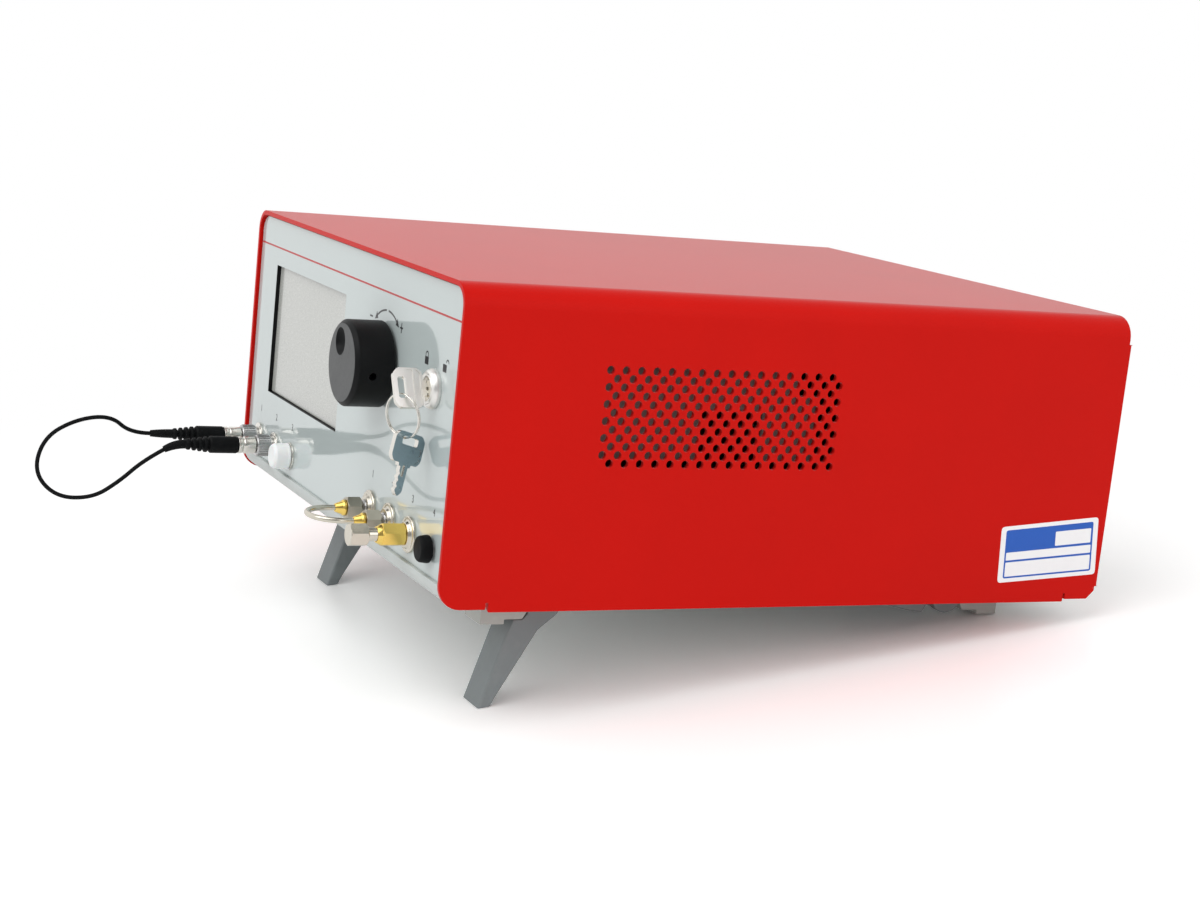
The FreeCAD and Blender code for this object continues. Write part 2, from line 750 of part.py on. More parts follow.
tail.Angle3 = 30
tail_turn = Rotation(Vector(0, 1, 0), Vector(0, 0, 1), Vector(1, 0, 0), "ZXY")
shifted(tail, 0, -S.boot_bend, boot_end, tail_turn)
bent = fuse(turned(boot_profile), tail)
shifted(bent, x=S.fibre_step)
node("lead_boots", group(straight, bent), fibre_frame)

tail_out = float(S.panel_front - boot_end) - float(S.boot_bend) * 0.5
tail_drop = float(S.fibre_z) - float(S.boot_bend) * (1 - math.cos(math.radians(30)))
second = float(S.fibre_x + S.fibre_step)
LEAD_ROUTE = [
    (float(S.fibre_x), float(S.panel_front - boot_end) - 10, float(S.fibre_z)),
    (float(S.fibre_x), -57.5, float(S.fibre_z)),
    (-102.8, -67.0, 27.2),
    (-99.8, -82.4, 25.9),
    (-96.7, -96.63, 18.4),
    (-93.6, -101.0, 3.7),
    (-90.8, -91.6, -6.7),
    (-87.9, -76.5, -6.4),
    (-85.1, -66.0, 1.6),
    (second, tail_out - 10 * math.cos(math.radians(30)), tail_drop - 5),
    (second, tail_out, tail_drop),
]


def make_lead(route, radius):
    """A round lead swept along straight runs joined by tangent arcs."""
    points = [Vector(*point) for point in route]
    edges = []
    start = points[0]
    tightest = 1e9
    for before, corner, after in zip(points, points[1:], points[2:]):
        back = (before - corner).normalize()
        ahead = (after - corner).normalize()
        reach = 0.45 * min(before.distanceToPoint(corner), after.distanceToPoint(corner))
        bend = math.pi - back.getAngle(ahead)
        arc = reach / math.tan(bend / 2)
        tightest = min(tightest, arc)
        middle = corner + (back + ahead).normalize() * (math.hypot(reach, arc) - arc)
        first, last = corner + back * reach, corner + ahead * reach
        edges.append(Part.LineSegment(start, first).toShape())
        edges.append(Part.Arc(first, middle, last).toShape())
        start = last
    edges.append(Part.LineSegment(start, points[-1]).toShape())
    wire = Part.Wire(edges)
    section = Part.Wire(Part.makeCircle(radius, points[0], points[1] - points[0]))
    sweep = wire.makePipeShell([section], True, False)
    length = wire.Length
    ratio = sweep.Volume / (math.pi * radius**2 * length)
    print(f"lead: length {length:.1f} mm, tightest bend {tightest:.1f} mm, volume ratio {ratio:.4f}")
    return sweep


lead = doc.addObject("Part::Feature", "Lead")
lead.Shape = make_lead(LEAD_ROUTE, float(S.lead_radius))
node("lead_fibre", lead, in_case())
cap_profile = [(4.1, 1.2), (5.7, 1.2), (5.7, 7.4), (4.6, 8.6), (0, 8.6), (0, 7.4), (4.1, 7.4)]
node("fibre_cap", turned(cap_profile), on_front(S.fibre_x + S.fibre_step * 2, S.fibre_z))

# Radio sockets: a rigid jumper over the first two, a load on the third and a cap on the short fourth.
thread = S.radio_barrel


def make_socket(out):
    """A threaded socket clamped behind the panel, with its barrel out to a length."""
    return turned([(0, -14), (3, -14), (3, -6.5), (6, -6.5), (6, -3), (thread, -3), (thread, out), (0, out)])


radio_frame = on_front(S.radio_x, S.radio_z)
load_frame = on_front(S.radio_x + S.radio_step * 2, S.radio_z)
short_socket = shifted(make_socket(4.2), x=S.radio_step * 3)
node("rf_sockets", group(row(lambda: make_socket(8.6), 3, S.radio_step), short_socket), radio_frame)
collar_profile = [(thread + 0.05, 0), (7, 0), (7, 0.8), (5.2, 2.6), (thread + 0.05, 2.6)]
node("rf_socket_nuts", row(lambda: turned(collar_profile), 3, S.radio_step), radio_frame)


def make_coupling(across, span, hole):
    """A hexagonal coupling nut over a socket's barrel, with a hole through its outer end."""
    inside = rod(thread + 0.05, (span[0] - 1, 9.0))
    return group(cut(hexagon(across, span), inside, rod(hole, (8.0, span[1] + 1))))


node("jumper_nuts", row(lambda: make_coupling(8, (4.4, 10.4), 2.0), 2, S.radio_step), radio_frame)
tube = S.jumper_radius
ferrule_profile = [
    (tube + 0.02, 8.65),
    (3, 8.65),
    (3, 8.9),
    (1.9, 8.9),
    (1.9, 10.6),
    (2.6, 10.6),
    (2.6, 11.6),
    (1.6, 14.6),
    (tube + 0.02, 14.6),
]
node("jumper_ferrules", row(lambda: turned(ferrule_profile), 2, S.radio_step), radio_frame)
arch = doc.addObject("Part::Torus", "Arch")
bind(arch, Radius1=S.radio_step / 2, Radius2=tube)
arch.Angle3 = 180
arch_out = float(S.jumper_reach - S.radio_step / 2 - tube)
shifted(arch, S.radio_step / 2, 0, arch_out, Rotation(Vector(1, 0, 0), 90))
legs = [rod(tube, (8.7, arch_out), (S.radio_step * count, 0.0)) for count in range(2)]
node("jumper_tube", fuse(arch, *legs), radio_frame)
node("terminator_nut", make_coupling(8, (2.7, 13.4), 2.6), load_frame)
neck = turned([(0, 8.65), (3.05, 8.65), (3.05, 8.9), (2.5, 8.9), (2.5, 17.5), (0, 17.5)])
load = shifted(group(hexagon(8, (17.2, 24.3))), turn=Rotation(upward, 30))
node("terminator_body", fuse(neck, load), load_frame)
seal_profile = [
    (3.16, 1),
    (5.2, 1),
    (5.2, 2),
    (4.85, 4.6),
    (4.2, 5.4),
    (0, 5.4),
    (0, 4.4),
    (3.16, 4.4),
]
node("rf_cap", turned(seal_profile), on_front(S.radio_x + S.radio_step * 3, S.radio_z))

# Inner modules on the tray.
floor_z = S.tray_bottom + S.tray_sheet


def make_board():
    """The main board on its posts, with its larger components."""
    pieces = [block((-20.0, 100.0), (140.0, 250.0), (13.0, 14.6))]
    for x, y, wide, long, tall in (
        (10, 170, 30, 30, 4),
        (60, 165, 24, 24, 3),
        (0, 215, 40, 14, 12),
        (70, 215, 16, 30, 9),
        (40, 230, 12, 12, 16),
    ):
        pieces.append(block((float(x), x + wide), (float(y), y + long), (14.5, 14.6 + tall)))
    return fuse(*pieces)


def make_supply():
    """The power supply in its cage, with a terminal block on its end."""
    cage = block((-118.0, -30.0), (112.0, 236.0), (floor_z, 44.0))
    terminals = block((-110.0, -50.0), (235.0, 248.0), (floor_z, 24.0))
    return fuse(cage, terminals)


def make_laser():
    """The laser package with its legs on a cooled base plate."""
    pieces = [
        block((-96.0, -56.0), (44.0, 100.0), (floor_z, 12.0)),
        block((-84.0, -68.0), (52.0, 84.0), (11.5, 20.0)),
        rod(2.5, (34.0, 53.0), (-76.0, 16.0), "y"),
    ]
    for count in range(7):
        start = 56.0 + 3.6 * count
        pieces.append(block((-90.0, -62.0), (start, start + 1.2), (15.0, 16.0)))
    return fuse(*pieces)


def make_modulator():
    """The long modulator package, with a fibre stub at each end and a radio socket on its side."""
    return fuse(
        block((-28.0, -12.0), (32.0, 126.0), (floor_z, 17.0)),
        rod(2.0, (24.0, 33.0), (-20.0, 12.0), "y"),
        rod(2.0, (125.0, 134.0), (-20.0, 12.0), "y"),
        rod(3.1, (-13.0, -2.0), (46.0, 12.0), "x"),
    )


def make_amplifier():
    """The driver amplifier on a finned base, with a radio socket at each end."""
    pieces = [
        block((44.0, 96.0), (44.0, 92.0), (floor_z, 12.0)),
        block((50.0, 90.0), (50.0, 86.0), (11.5, 26.0)),
        rod(3.1, (34.0, 51.0), (62.0, 20.0), "y"),
        rod(3.1, (85.0, 98.0), (62.0, 20.0), "y"),
    ]
    return fuse(*pieces)


node("main_board", make_board(), in_case())
node("power_supply", make_supply(), in_case())
node("laser_module", make_laser(), in_case())
node("modulator", make_modulator(), in_case())
node("amplifier", make_amplifier(), in_case())

# Fan on the rear panel, with a guard outside.
fan_frame = on_rear(S.fan_x, S.fan_z)
side = S.fan_side / 2
inside = -S.rear_thick
far = inside - S.fan_deep


def make_fan_frame():
    """The square frame, its motor seat on four struts and the pin the rotor turns on."""
    body = cut(block((-side, side), (-side, side), (far, inside)), rod(S.fan_bore, (far - 1, inside + 1)))
    struts = [
        block((-side + 1, side - 1), (-2.0, 2.0), (far, far + 2.5)),
        block((-2.0, 2.0), (-side + 1, side - 1), (far, far + 2.5)),
    ]
    return fuse(body, rod(13.0, (far, far + 3)), rod(1.5, (far + 2, inside - 3)), *struts)


def make_fan_rotor():
    """The hub with its pitched blades."""
    pieces = [rod(13.0, (far + 3.6, inside - 1.5))]
    for count in range(7):
        blade = block((11.5, 27.0), (-0.7, 0.7), (-5.2, 5.2))
        pitch = Rotation(Vector(1, 0, 0), 38)
        around = Rotation(Vector(0, 0, 1), 360 / 7 * count)
        bearing = group(blade)
        bearing.Placement = Placement(Vector(0, 0, float(far) + 8.5), around.multiply(pitch))
        pieces.append(bearing)
    return cut(fuse(*pieces), rod(1.55, (far + 1, inside - 2.6)))


def make_fan_guard():
    """A guard of flat rings on four arms."""
    rings = []
    for radius in (9.0, 18.0, 27.0):
        rings.append(cut(rod(radius + 0.8, (0.0, 1.6)), rod(radius - 0.8, (-1.0, 3.0))))
    arms = []
    for count in range(2):
        arm = group(block((-36.0, 36.0), (-1.2, 1.2), (0.0, 1.6)))
        arm.Placement = Placement(Vector(), Rotation(Vector(0, 0, 1), 45 + 90 * count))
        arms.append(arm)
    return fuse(*rings, *arms)


node("fan_frame", make_fan_frame(), fan_frame)
node("fan_rotor", make_fan_rotor(), fan_frame)
node("fan_guard", make_fan_guard(), fan_frame)

# Mains inlet with a rocker and a fuse drawer.
inlet_frame = on_rear(S.inlet_x, S.inlet_z)
rocker_y = 16.5
rocker_z = -3.0
housing = cut(
    fuse(block((-15.0, 15.0), (-32.0, 32.0), (0.0, 3.0)), block((-13.5, 13.5), (-27.0, 27.0), (-32.0, 0.5))),
    block((-12.0, 12.0), (-24.2, -8.2), (-16.0, 4.0)),
    block((-11.2, 11.2), (-5.0, 4.0), (-28.0, 4.0)),
    block((-9.8, 9.8), (6.8, 26.2), (-13.0, 4.0)),
    rod(1.55, (-11.6, 11.6), (rocker_y, rocker_z), "x"),
)
node("inlet_housing", housing, inlet_frame)
blades = [
    block((x - 1.0, x + 1.0), (y - 2.0, y + 2.0), (-16.0, -1.0))
    for x, y in ((-7.0, -18.2), (7.0, -18.2), (0.0, -14.2))
]
node("inlet_pins", group(*blades), inlet_frame)
rocker_side = [(-8.6, -4), (8.6, -4), (8.6, 4.6), (0, 2.8), (-8.6, 4.6)]
rocker = fuse(padded([rocker_side], 19.0), rod(1.5, (-11.4, 11.4), axis="x"))
rocker_place = Placement(Vector(0, rocker_y, rocker_z), Rotation(Vector(1, 0, 0), -10))
node("power_rocker", rocker, inlet_frame.multiply(rocker_place))
drawer = fuse(
    block((-11.0, 11.0), (-4.8, 3.8), (-27.0, 3.0)),
    block((-11.0, 11.0), (-4.8, 3.8), (2.5, 4.2)),
)
drawer = cut(drawer, block((-4.0, 4.0), (2.6, 5.0), (3.2, 5.0)))
node("fuse_drawer", drawer, inlet_frame)

# Row of rear sockets.
usb = cut(
    block((-6.0, 6.0), (-5.4, 5.4), (-15.0, 0.6)),
    block((-4.3, 4.3), (-4.0, 4.0), (-10.0, 1.0)),
)
tongue = block((-2.8, 2.8), (-1.6, 1.6), (-10.2, -1.0))
node("usb_socket", fuse(usb, tongue), on_rear(S.usb_x, S.rear_row_z))
jack_profile = [(1.3, -12), (3, -12), (3, 0), (5, 0), (5, 1.8), (4.2, 2.4), (1.3, 2.4)]
node("interlock_jack", turned(jack_profile), on_rear(S.interlock_x, S.rear_row_z))
bore = S.earth_bore
earth_profile = [(bore, -18), (0, -18), (0, -20), (4, -20), (4, 0), (6, 0), (6, 2.4), (5.4, 3), (bore, 3)]
node("earth_socket", turned(earth_profile), on_rear(S.earth_x, S.rear_row_z))

# Every sub-part goes where it belongs, with the floor at zero and the box of all but the lead centred.
doc.recompute()
for thing, placement in NODES:
    thing.Placement = placement
doc.recompute()
LEAD = ("lead_plugs", "lead_nuts", "lead_boots", "lead_fibre")
whole = FreeCAD.BoundBox()
for thing, placement in NODES:
    if thing.Label not in LEAD:
        whole.add(thing.Shape.optimalBoundingBox(False, False))
centre = Vector(-(whole.XMin + whole.XMax) / 2, -(whole.YMin + whole.YMax) / 2, -whole.ZMin)
shift = Placement(centre, Rotation())
for thing, placement in NODES:
    thing.Placement = shift.multiply(placement)
doc.recompute()
for thing in doc.Objects:
    if "Invalid" in thing.State or "Error" in thing.State:
        raise RuntimeError(f"{thing.Name} {thing.Label} is not built: {thing.State}")
for thing, placement in NODES:
    if thing.Shape.isNull() or not thing.Shape.isValid() or not thing.Shape.Solids:
        raise RuntimeError(f"{thing.Label} has no valid shape")
    thing.Shape.exportStep(f"parts/{thing.Label}.step")
origin = shift.multiply(CASE).Base
print(f"{len(NODES)} sub-parts, case frame zero at {origin.x:.3f}, {origin.y:.3f}, {origin.z:.3f}")
print(f"box {whole.XLength:.2f} x {whole.YLength:.2f} x {whole.ZLength:.2f}")
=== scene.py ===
"""Finished look of a bench-top optical transmitter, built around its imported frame: the vented cover, the
printed panel, the controls, the connectors and the patch lead, with their finishes, the stage and the camera.
Places on the case are in millimetres in the case frame, which CASE turns into metres of the row."""

import json
import math

import bmesh
import bpy
from bpy.props import FloatProperty, FloatVectorProperty, IntProperty, PointerProperty
from mathutils import Matrix, Vector
from mathutils.geometry import tessellate_polygon


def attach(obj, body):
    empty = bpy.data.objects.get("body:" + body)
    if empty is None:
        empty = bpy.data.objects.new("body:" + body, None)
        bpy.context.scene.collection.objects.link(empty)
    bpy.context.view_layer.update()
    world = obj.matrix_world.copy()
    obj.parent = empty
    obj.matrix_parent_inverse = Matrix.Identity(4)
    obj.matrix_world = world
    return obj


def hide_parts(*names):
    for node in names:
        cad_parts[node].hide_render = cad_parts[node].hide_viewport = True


bl_info = {
    "name": "Bench Transmitter",
    "version": (1, 0, 0),
    "blender": (4, 5, 0),
    "location": "View3D > Sidebar > Transmitter",
    "description": "Builds the finished look of a bench-top optical transmitter around its frame",
    "category": "Object",
}

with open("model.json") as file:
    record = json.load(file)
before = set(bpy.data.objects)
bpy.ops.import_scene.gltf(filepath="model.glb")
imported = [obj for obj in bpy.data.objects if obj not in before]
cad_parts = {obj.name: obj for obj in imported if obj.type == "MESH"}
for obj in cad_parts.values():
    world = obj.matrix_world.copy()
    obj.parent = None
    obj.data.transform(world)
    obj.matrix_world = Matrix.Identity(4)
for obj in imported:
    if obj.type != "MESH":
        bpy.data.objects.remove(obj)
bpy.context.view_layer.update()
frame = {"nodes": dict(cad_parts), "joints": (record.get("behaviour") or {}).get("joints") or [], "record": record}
MM = 0.001

BODY_OF = {node: body for body, nodes in frame["record"]["behaviour"]["bodies"].items() for node in nodes}
SLOT_OF = {part["node"]: part["material_slot"] for part in frame["record"]["subparts"]}
JOINTS = {joint["name"]: joint for joint in frame["joints"]}

# Places in the case frame: x right, y back, z up, in millimetres.
PANEL_FACE = 1.5
REAR_FACE = 294.0
CONTROLS_Z = 77.7
KNOB_X = 45.1
LOCK_X = 99.3
WINDOW = (-51.0, 69.35, 94.0, 56.7)
FIBRE_X, FIBRE_STEP, FIBRE_Z = -105.2, 22.9, 19.2
RADIO_X, RADIO_STEP, RADIO_Z = 44.1, 22.1, 20.4
COVER_SCREWS = [(-118.0, 28.0), (118.0, 28.0), (-118.0, 88.0), (118.0, 88.0), (-50.0, 112.5), (50.0, 112.5)]


def case_frame():
    """The matrix from case millimetres to metres of the row, worked out from the knob's axis."""
    out = Vector(JOINTS["knob_turn"]["axis"]).normalized()
    right = Vector((1, 0, 0))
    turn = Matrix((right, -out, out.cross(right))).transposed().to_4x4()
    knob = Vector((KNOB_X, PANEL_FACE, CONTROLS_Z)) * MM
    base = Vector(JOINTS["knob_turn"]["pos_m"]) - turn @ knob
    return Matrix.Translation(base) @ turn @ Matrix.Scale(MM, 4)


CASE = case_frame()
UPRIGHT = Matrix.Rotation(math.radians(90), 4, "X")


def on_front(x, z):
    """A frame on the front panel's face: x right, y up, z outwards."""
    return CASE @ Matrix.Translation((x, PANEL_FACE, z)) @ UPRIGHT


def on_rear(x, z):
    """A frame on the rear panel's face: x to the left of the case, y up, z outwards."""
    about = Matrix.Rotation(math.radians(180), 4, "Z")
    return CASE @ Matrix.Translation((x, REAR_FACE, z)) @ about @ UPRIGHT


class TransmitterSizes(bpy.types.PropertyGroup):
    """Sizes that a user would change."""

    def size(name, description, default):
        return FloatProperty(name=name, description=description, default=default, unit="LENGTH", precision=5)

    cover_width: size("Cover Width", "Width of the folded cover", 0.250)
    cover_depth: size("Cover Depth", "Depth of the folded cover", 0.296)
    cover_height: size("Cover Height", "Height of the folded cover", 0.120)
    sheet: size("Sheet", "Thickness of the cover's sheet", 0.002)
    bend: size("Bend", "Outer radius of the cover's top bends", 0.009)
    flange: size("Flange", "Width of the cover's inward flanges", 0.012)
    vent_radius: size("Vent Radius", "Radius of one vent hole", 0.0016)
    vent_pitch: size("Vent Pitch", "Distance between vent holes in a row", 0.00635)
    vent_columns: IntProperty(name="Vent Columns", description="Holes in a row of vents", default=16, min=2)
    vent_rows: IntProperty(name="Vent Rows", description="Rows of vents", default=12, min=2)
    knob_radius: size("Knob Radius", "Radius of the push knob", 0.0168)
    knob_length: size("Knob Length", "Reach of the knob from the panel", 0.0171)
    lead_diameter: size("Lead Diameter", "Diameter of the patch lead", 0.0018)
    lead_length: size("Lead Length", "Length of the patch lead between its boots", 0.132)
    ring_wire: size("Ring Wire", "Radius of the key ring's wire", 0.00034)
    print_lift: size("Print Lift", "Height of the printed marks over the panel", 0.00003)


class TransmitterColours(bpy.types.PropertyGroup):
    """Colours that a user would change."""

    def colour(name, description, default):
        return FloatVectorProperty(
            name=name, description=description, default=default, subtype="COLOR", size=3, min=0, max=1
        )

    cover: colour("Cover", "Powder coat of the cover", (0.61, 0.004, 0.0008))
    panel: colour("Panel", "Film on the front panel", (0.53, 0.595, 0.59))
    tray: colour("Tray", "Paint of the tray and the rear panel", (0.61, 0.65, 0.635))
    baffle: colour("Baffle", "Plate behind the vents", (0.31, 0.26, 0.245))
    display: colour("Display", "Face of the unlit display", (0.50, 0.51, 0.48))
    foot: colour("Foot", "Moulding of the feet", (0.50, 0.50, 0.47))
    leg: colour("Leg", "Moulding of the flip legs", (0.23, 0.255, 0.26))
    pad: colour("Pad", "Rubber of the foot pads", (0.55, 0.44, 0.34))
    black: colour("Black", "Black mouldings", (0.004, 0.0045, 0.005))
    # Knob Face: its higher gloss is real, its lighter grey than the black moulding is a painted reflection of the
    # bright surround on the knob's flat face
    knob_face: colour("Knob Face", "Satin face of the knob", (0.030, 0.033, 0.034))
    rubber: colour("Rubber", "Black rubber of the lead and the cap", (0.003, 0.0035, 0.004))
    nickel: colour("Nickel", "Bright nickel plate", (0.78, 0.76, 0.71))
    satin_nickel: colour("Satin Nickel", "Satin plate of the lock and its key", (0.90, 0.89, 0.86))
    warm_nickel: colour("Warm Nickel", "Plate of the load, the collars and the jumper", (0.68, 0.64, 0.55))
    dull_nickel: colour("Dull Nickel", "Dull nickel plate of the coupling nuts", (0.45, 0.42, 0.35))
    steel: colour("Steel", "Plated steel", (0.55, 0.55, 0.55))
    # Spare Key: a darker, bluish tone on the same nickel as the other key, a painted reflection of the shaded
    # panel on the spare key's faces
    spare: colour("Spare Key", "Dulled faces of the spare key", (0.33, 0.42, 0.47))
    gold: colour("Gold", "Gold plate", (0.93, 0.66, 0.17))
    white: colour("White", "White moulding of the cap", (0.95, 0.97, 0.97))
    board: colour("Board", "Lacquer of the main board", (0.03, 0.16, 0.06))
    mark: colour("Mark", "Dark print on the panel", (0.02, 0.02, 0.022))
    line: colour("Line", "Red line across the panel", (0.48, 0.03, 0.03))
    label: colour("Label", "Blue print of the blank label", (0.012, 0.10, 0.48))


def sizes():
    """The sizes in millimetres, or as counts."""
    group = bpy.context.scene.transmitter_sizes
    return {
        name: value if isinstance(value, int) else value / MM
        for name in TransmitterSizes.__annotations__
        for value in [getattr(group, name)]
    }


def colour(name):
    """One of the colours, opaque."""
    return (*getattr(bpy.context.scene.transmitter_colours, name), 1.0)


# Node trees.
class Wire:
    """A socket of a node tree that joins in sums."""

    def __init__(self, tree, socket):
        self.tree = tree
        self.socket = socket

    def sum(self, operation, left, right):
        return self.tree.add("ShaderNodeMath", {"operation": operation}, {0: left, 1: right})

    def __add__(self, other):
        return self.sum("ADD", self, other)

    def __radd__(self, other):
        return self.sum("ADD", other, self)

    def __sub__(self, other):
        return self.sum("SUBTRACT", self, other)

    def __rsub__(self, other):
        return self.sum("SUBTRACT", other, self)

    def __mul__(self, other):
        return self.sum("MULTIPLY", self, other)

    def __rmul__(self, other):
        return self.sum("MULTIPLY", other, self)

    def __truediv__(self, other):
        return self.sum("DIVIDE", self, other)

    def __mod__(self, other):
        return self.sum("MODULO", self, other)


class Tree:
    """A node tree and the one method that adds nodes to it."""

    def __init__(self, tree):
        self.tree = tree

    def add(self, kind, settings=None, sockets=None, output=0):
        node = self.tree.nodes.new(kind)
        for name, value in (settings or {}).items():
            if name == "stops":
                self.set_stops(node.color_ramp, value)
            else:
                setattr(node, name, value)
        for name, value in (sockets or {}).items():
            self.join(value, node.inputs[name])
        return Wire(self, node.outputs[output]) if node.outputs else node

    def set_stops(self, ramp, stops):
        for element, (place, grey) in zip(ramp.elements, stops):
            element.position = place
            element.color = (grey, grey, grey, 1)

    def join(self, value, socket):
        for item in value if isinstance(value, list) else [value]:
            if isinstance(item, Wire):
                self.tree.links.new(item.socket, socket)
            else:
                socket.default_value = item


class Finish(Tree):
    """A material with its main shader, whose constants are set on its own sockets."""

    def __init__(self, name, **constants):
        self.material = bpy.data.materials.new(name)
        self.material.use_nodes = True
        super().__init__(self.material.node_tree)
        self.shader = self.tree.nodes["Principled BSDF"]
        self.places = self.add("ShaderNodeTexCoord", output=3)
        self.set(**constants)

    def set(self, **values):
        for name, value in values.items():
            self.join(value, self.shader.inputs[name.replace("_", " ").title().replace("Ior", "IOR")])

    def noise(self, scale, detail=2.0, roughness=0.5, stretch=None):
        places = self.places
        if stretch:
            places = self.add("ShaderNodeMapping", {}, {"Vector": places, "Scale": stretch})
        sockets = {"Vector": places, "Scale": scale, "Detail": detail, "Roughness": roughness}
        return self.add("ShaderNodeTexNoise", {}, sockets)

    def ramp(self, value, low, high):
        return self.add("ShaderNodeValToRGB", {"stops": [(low, 0.0), (high, 1.0)]}, {"Fac": value})

    def blend(self, share, first, second):
        sockets = {0: share, 6: first, 7: second}
        return self.add("ShaderNodeMix", {"data_type": "RGBA"}, sockets, output=2)

    def bump(self, height, strength, distance):
        sockets = {"Height": height, "Strength": strength, "Distance": distance}
        self.set(normal=self.add("ShaderNodeBump", {}, sockets))


def shaded(tone, share):
    """A colour made darker or lighter."""
    return (*(min(1.0, part * share) for part in tone[:3]), 1.0)


FINISHES = {}


def finish(name):
    """The material of that name, made on its first use."""
    if name not in FINISHES:
        FINISHES[name] = FINISH_MAKERS[name](name)
    return FINISHES[name]


def powder_coat(name):
    """Fine textured powder coat, with a faint cloud of tone and rubbed spots."""
    made = Finish(name, specular_ior_level=0.10, sheen_weight=0.55, sheen_roughness=0.30)
    grain = made.noise(1300.0, 2.0, 0.6)
    cloud = made.noise(22.0, 4.0)
    tone = made.blend(cloud, shaded(colour("cover"), 0.93), shaded(colour("cover"), 1.06))
    rub = made.ramp(made.noise(95.0, 6.0, 0.7), 0.66, 0.78)
    made.set(base_color=made.blend(rub * 0.10, tone, shaded(colour("cover"), 1.25)))
    made.set(roughness=0.44 + grain * 0.16 - rub * 0.08)
    made.bump(grain, 0.32, 0.00012)
    return made.material


def satin_paint(name, tone, level=0.35):
    """Smooth satin paint with a faint orange peel and soft smudges."""
    made = Finish(name, specular_ior_level=level)
    peel = made.noise(420.0, 2.0)
    smudge = made.noise(28.0, 5.0, 0.6)
    made.set(base_color=made.blend(smudge, shaded(tone, 0.94), shaded(tone, 1.04)))
    made.set(roughness=0.34 + smudge * 0.16)
    made.bump(peel, 0.10, 0.00008)
    return made.material


def panel_film(name):
    """Glossy film over the front panel, nearly a mirror at a low angle."""
    made = Finish(name, specular_ior_level=0.20, coat_roughness=0.02, coat_ior=1.5)
    wave = made.noise(9.0, 2.0)
    dust = made.ramp(made.noise(900.0, 3.0, 0.7), 0.70, 0.80)
    tone = made.blend(wave, shaded(colour("panel"), 0.97), shaded(colour("panel"), 1.03))
    made.set(base_color=made.blend(dust * 0.12, tone, shaded(colour("panel"), 0.7)))
    made.set(roughness=0.07 + wave * 0.05 + dust * 0.2)
    made.set(coat_weight=0.8 - dust * 0.5)
    made.bump(wave, 0.05, 0.0002)
    return made.material


def display_face(name):
    """The unlit display behind its glass: pale grey, with a fine matte grain under the gloss."""
    made = Finish(name, specular_ior_level=0.5, coat_roughness=0.05)
    grain = made.noise(2600.0, 1.0)
    cloud = made.noise(14.0, 3.0)
    made.set(base_color=made.blend(cloud, shaded(colour("display"), 0.96), shaded(colour("display"), 1.05)))
    made.set(roughness=0.22 + grain * 0.10)
    made.set(coat_weight=0.6 + cloud * 0.2)
    return made.material


def moulded(name, tone, rough=0.42, level=0.4, grain=700.0, depth=0.00006):
    """Moulded plastic with a spark-eroded grain and handling marks."""
    made = Finish(name, specular_ior_level=level)
    fine = made.noise(grain, 3.0, 0.6)
    wear = made.ramp(made.noise(60.0, 5.0, 0.65), 0.52, 0.75)
    made.set(base_color=made.blend(wear * 0.35, shaded(tone, 0.96), shaded(tone, 1.35)))
    made.set(roughness=rough + fine * 0.14 + wear * 0.06)
    made.bump(fine, 0.22, depth)
    return made.material


def rubber(name, tone):
    """Soft rubber with a dusty bloom."""
    made = Finish(name, specular_ior_level=0.13)
    fine = made.noise(1600.0, 2.0)
    bloom = made.ramp(made.noise(150.0, 4.0), 0.45, 0.8)
    made.set(base_color=made.blend(bloom * 0.4, tone, shaded(tone, 2.2)))
    made.set(roughness=0.46 + fine * 0.18 + bloom * 0.1)
    made.bump(fine, 0.15, 0.00005)
    return made.material


def plated(name, tone, rough=0.16, tarnish=0.25):
    """Plated metal with tool marks, fine scuffs and a little tarnish."""
    made = Finish(name, metallic=1.0)
    scuff = made.noise(900.0, 3.0, 0.6)
    cloud = made.ramp(made.noise(240.0, 3.0), 0.40, 0.75)
    made.set(base_color=made.blend(cloud * tarnish, tone, shaded(tone, 0.62)))
    made.set(roughness=rough + scuff * 0.06 + cloud * 0.05)
    made.bump(scuff, 0.02, 0.00002)
    return made.material


def white_moulding(name):
    """Soft white polyethylene."""
    made = Finish(name, specular_ior_level=0.6, subsurface_weight=0.10, subsurface_scale=0.002)
    fine = made.noise(500.0, 3.0)
    made.set(base_color=made.blend(fine, shaded(colour("white"), 0.97), shaded(colour("white"), 1.02)))
    made.set(roughness=0.30 + fine * 0.15)
    made.bump(fine, 0.08, 0.00005)
    return made.material


def lacquered_board(name):
    """A green board with tracks showing through its lacquer."""
    made = Finish(name, specular_ior_level=0.5)
    tracks = made.ramp(made.noise(260.0, 1.0, 0.4, stretch=(1.0, 0.2, 1.0)), 0.48, 0.52)
    made.set(base_color=made.blend(tracks * 0.5, colour("board"), shaded(colour("board"), 1.8)))
    made.set(roughness=0.28 + tracks * 0.1)
    made.bump(tracks, 0.2, 0.00004)
    return made.material


def printed(name, tone):
    """Screen print: flat ink with a slightly uneven edge of gloss."""
    made = Finish(name, specular_ior_level=0.4)
    fleck = made.noise(1800.0, 3.0, 0.7)
    made.set(base_color=made.blend(fleck * 0.5, tone, shaded(tone, 1.3)))
    made.set(roughness=0.25 + fleck * 0.2)
    return made.material


def label_film(name):
    """White vinyl of the blank label."""
    made = Finish(name, specular_ior_level=0.45)
    fine = made.noise(300.0, 4.0)
    made.set(base_color=made.blend(fine, (0.93, 0.94, 0.95, 1), (0.97, 0.97, 0.98, 1)))
    made.set(roughness=0.28 + fine * 0.15)
    return made.material


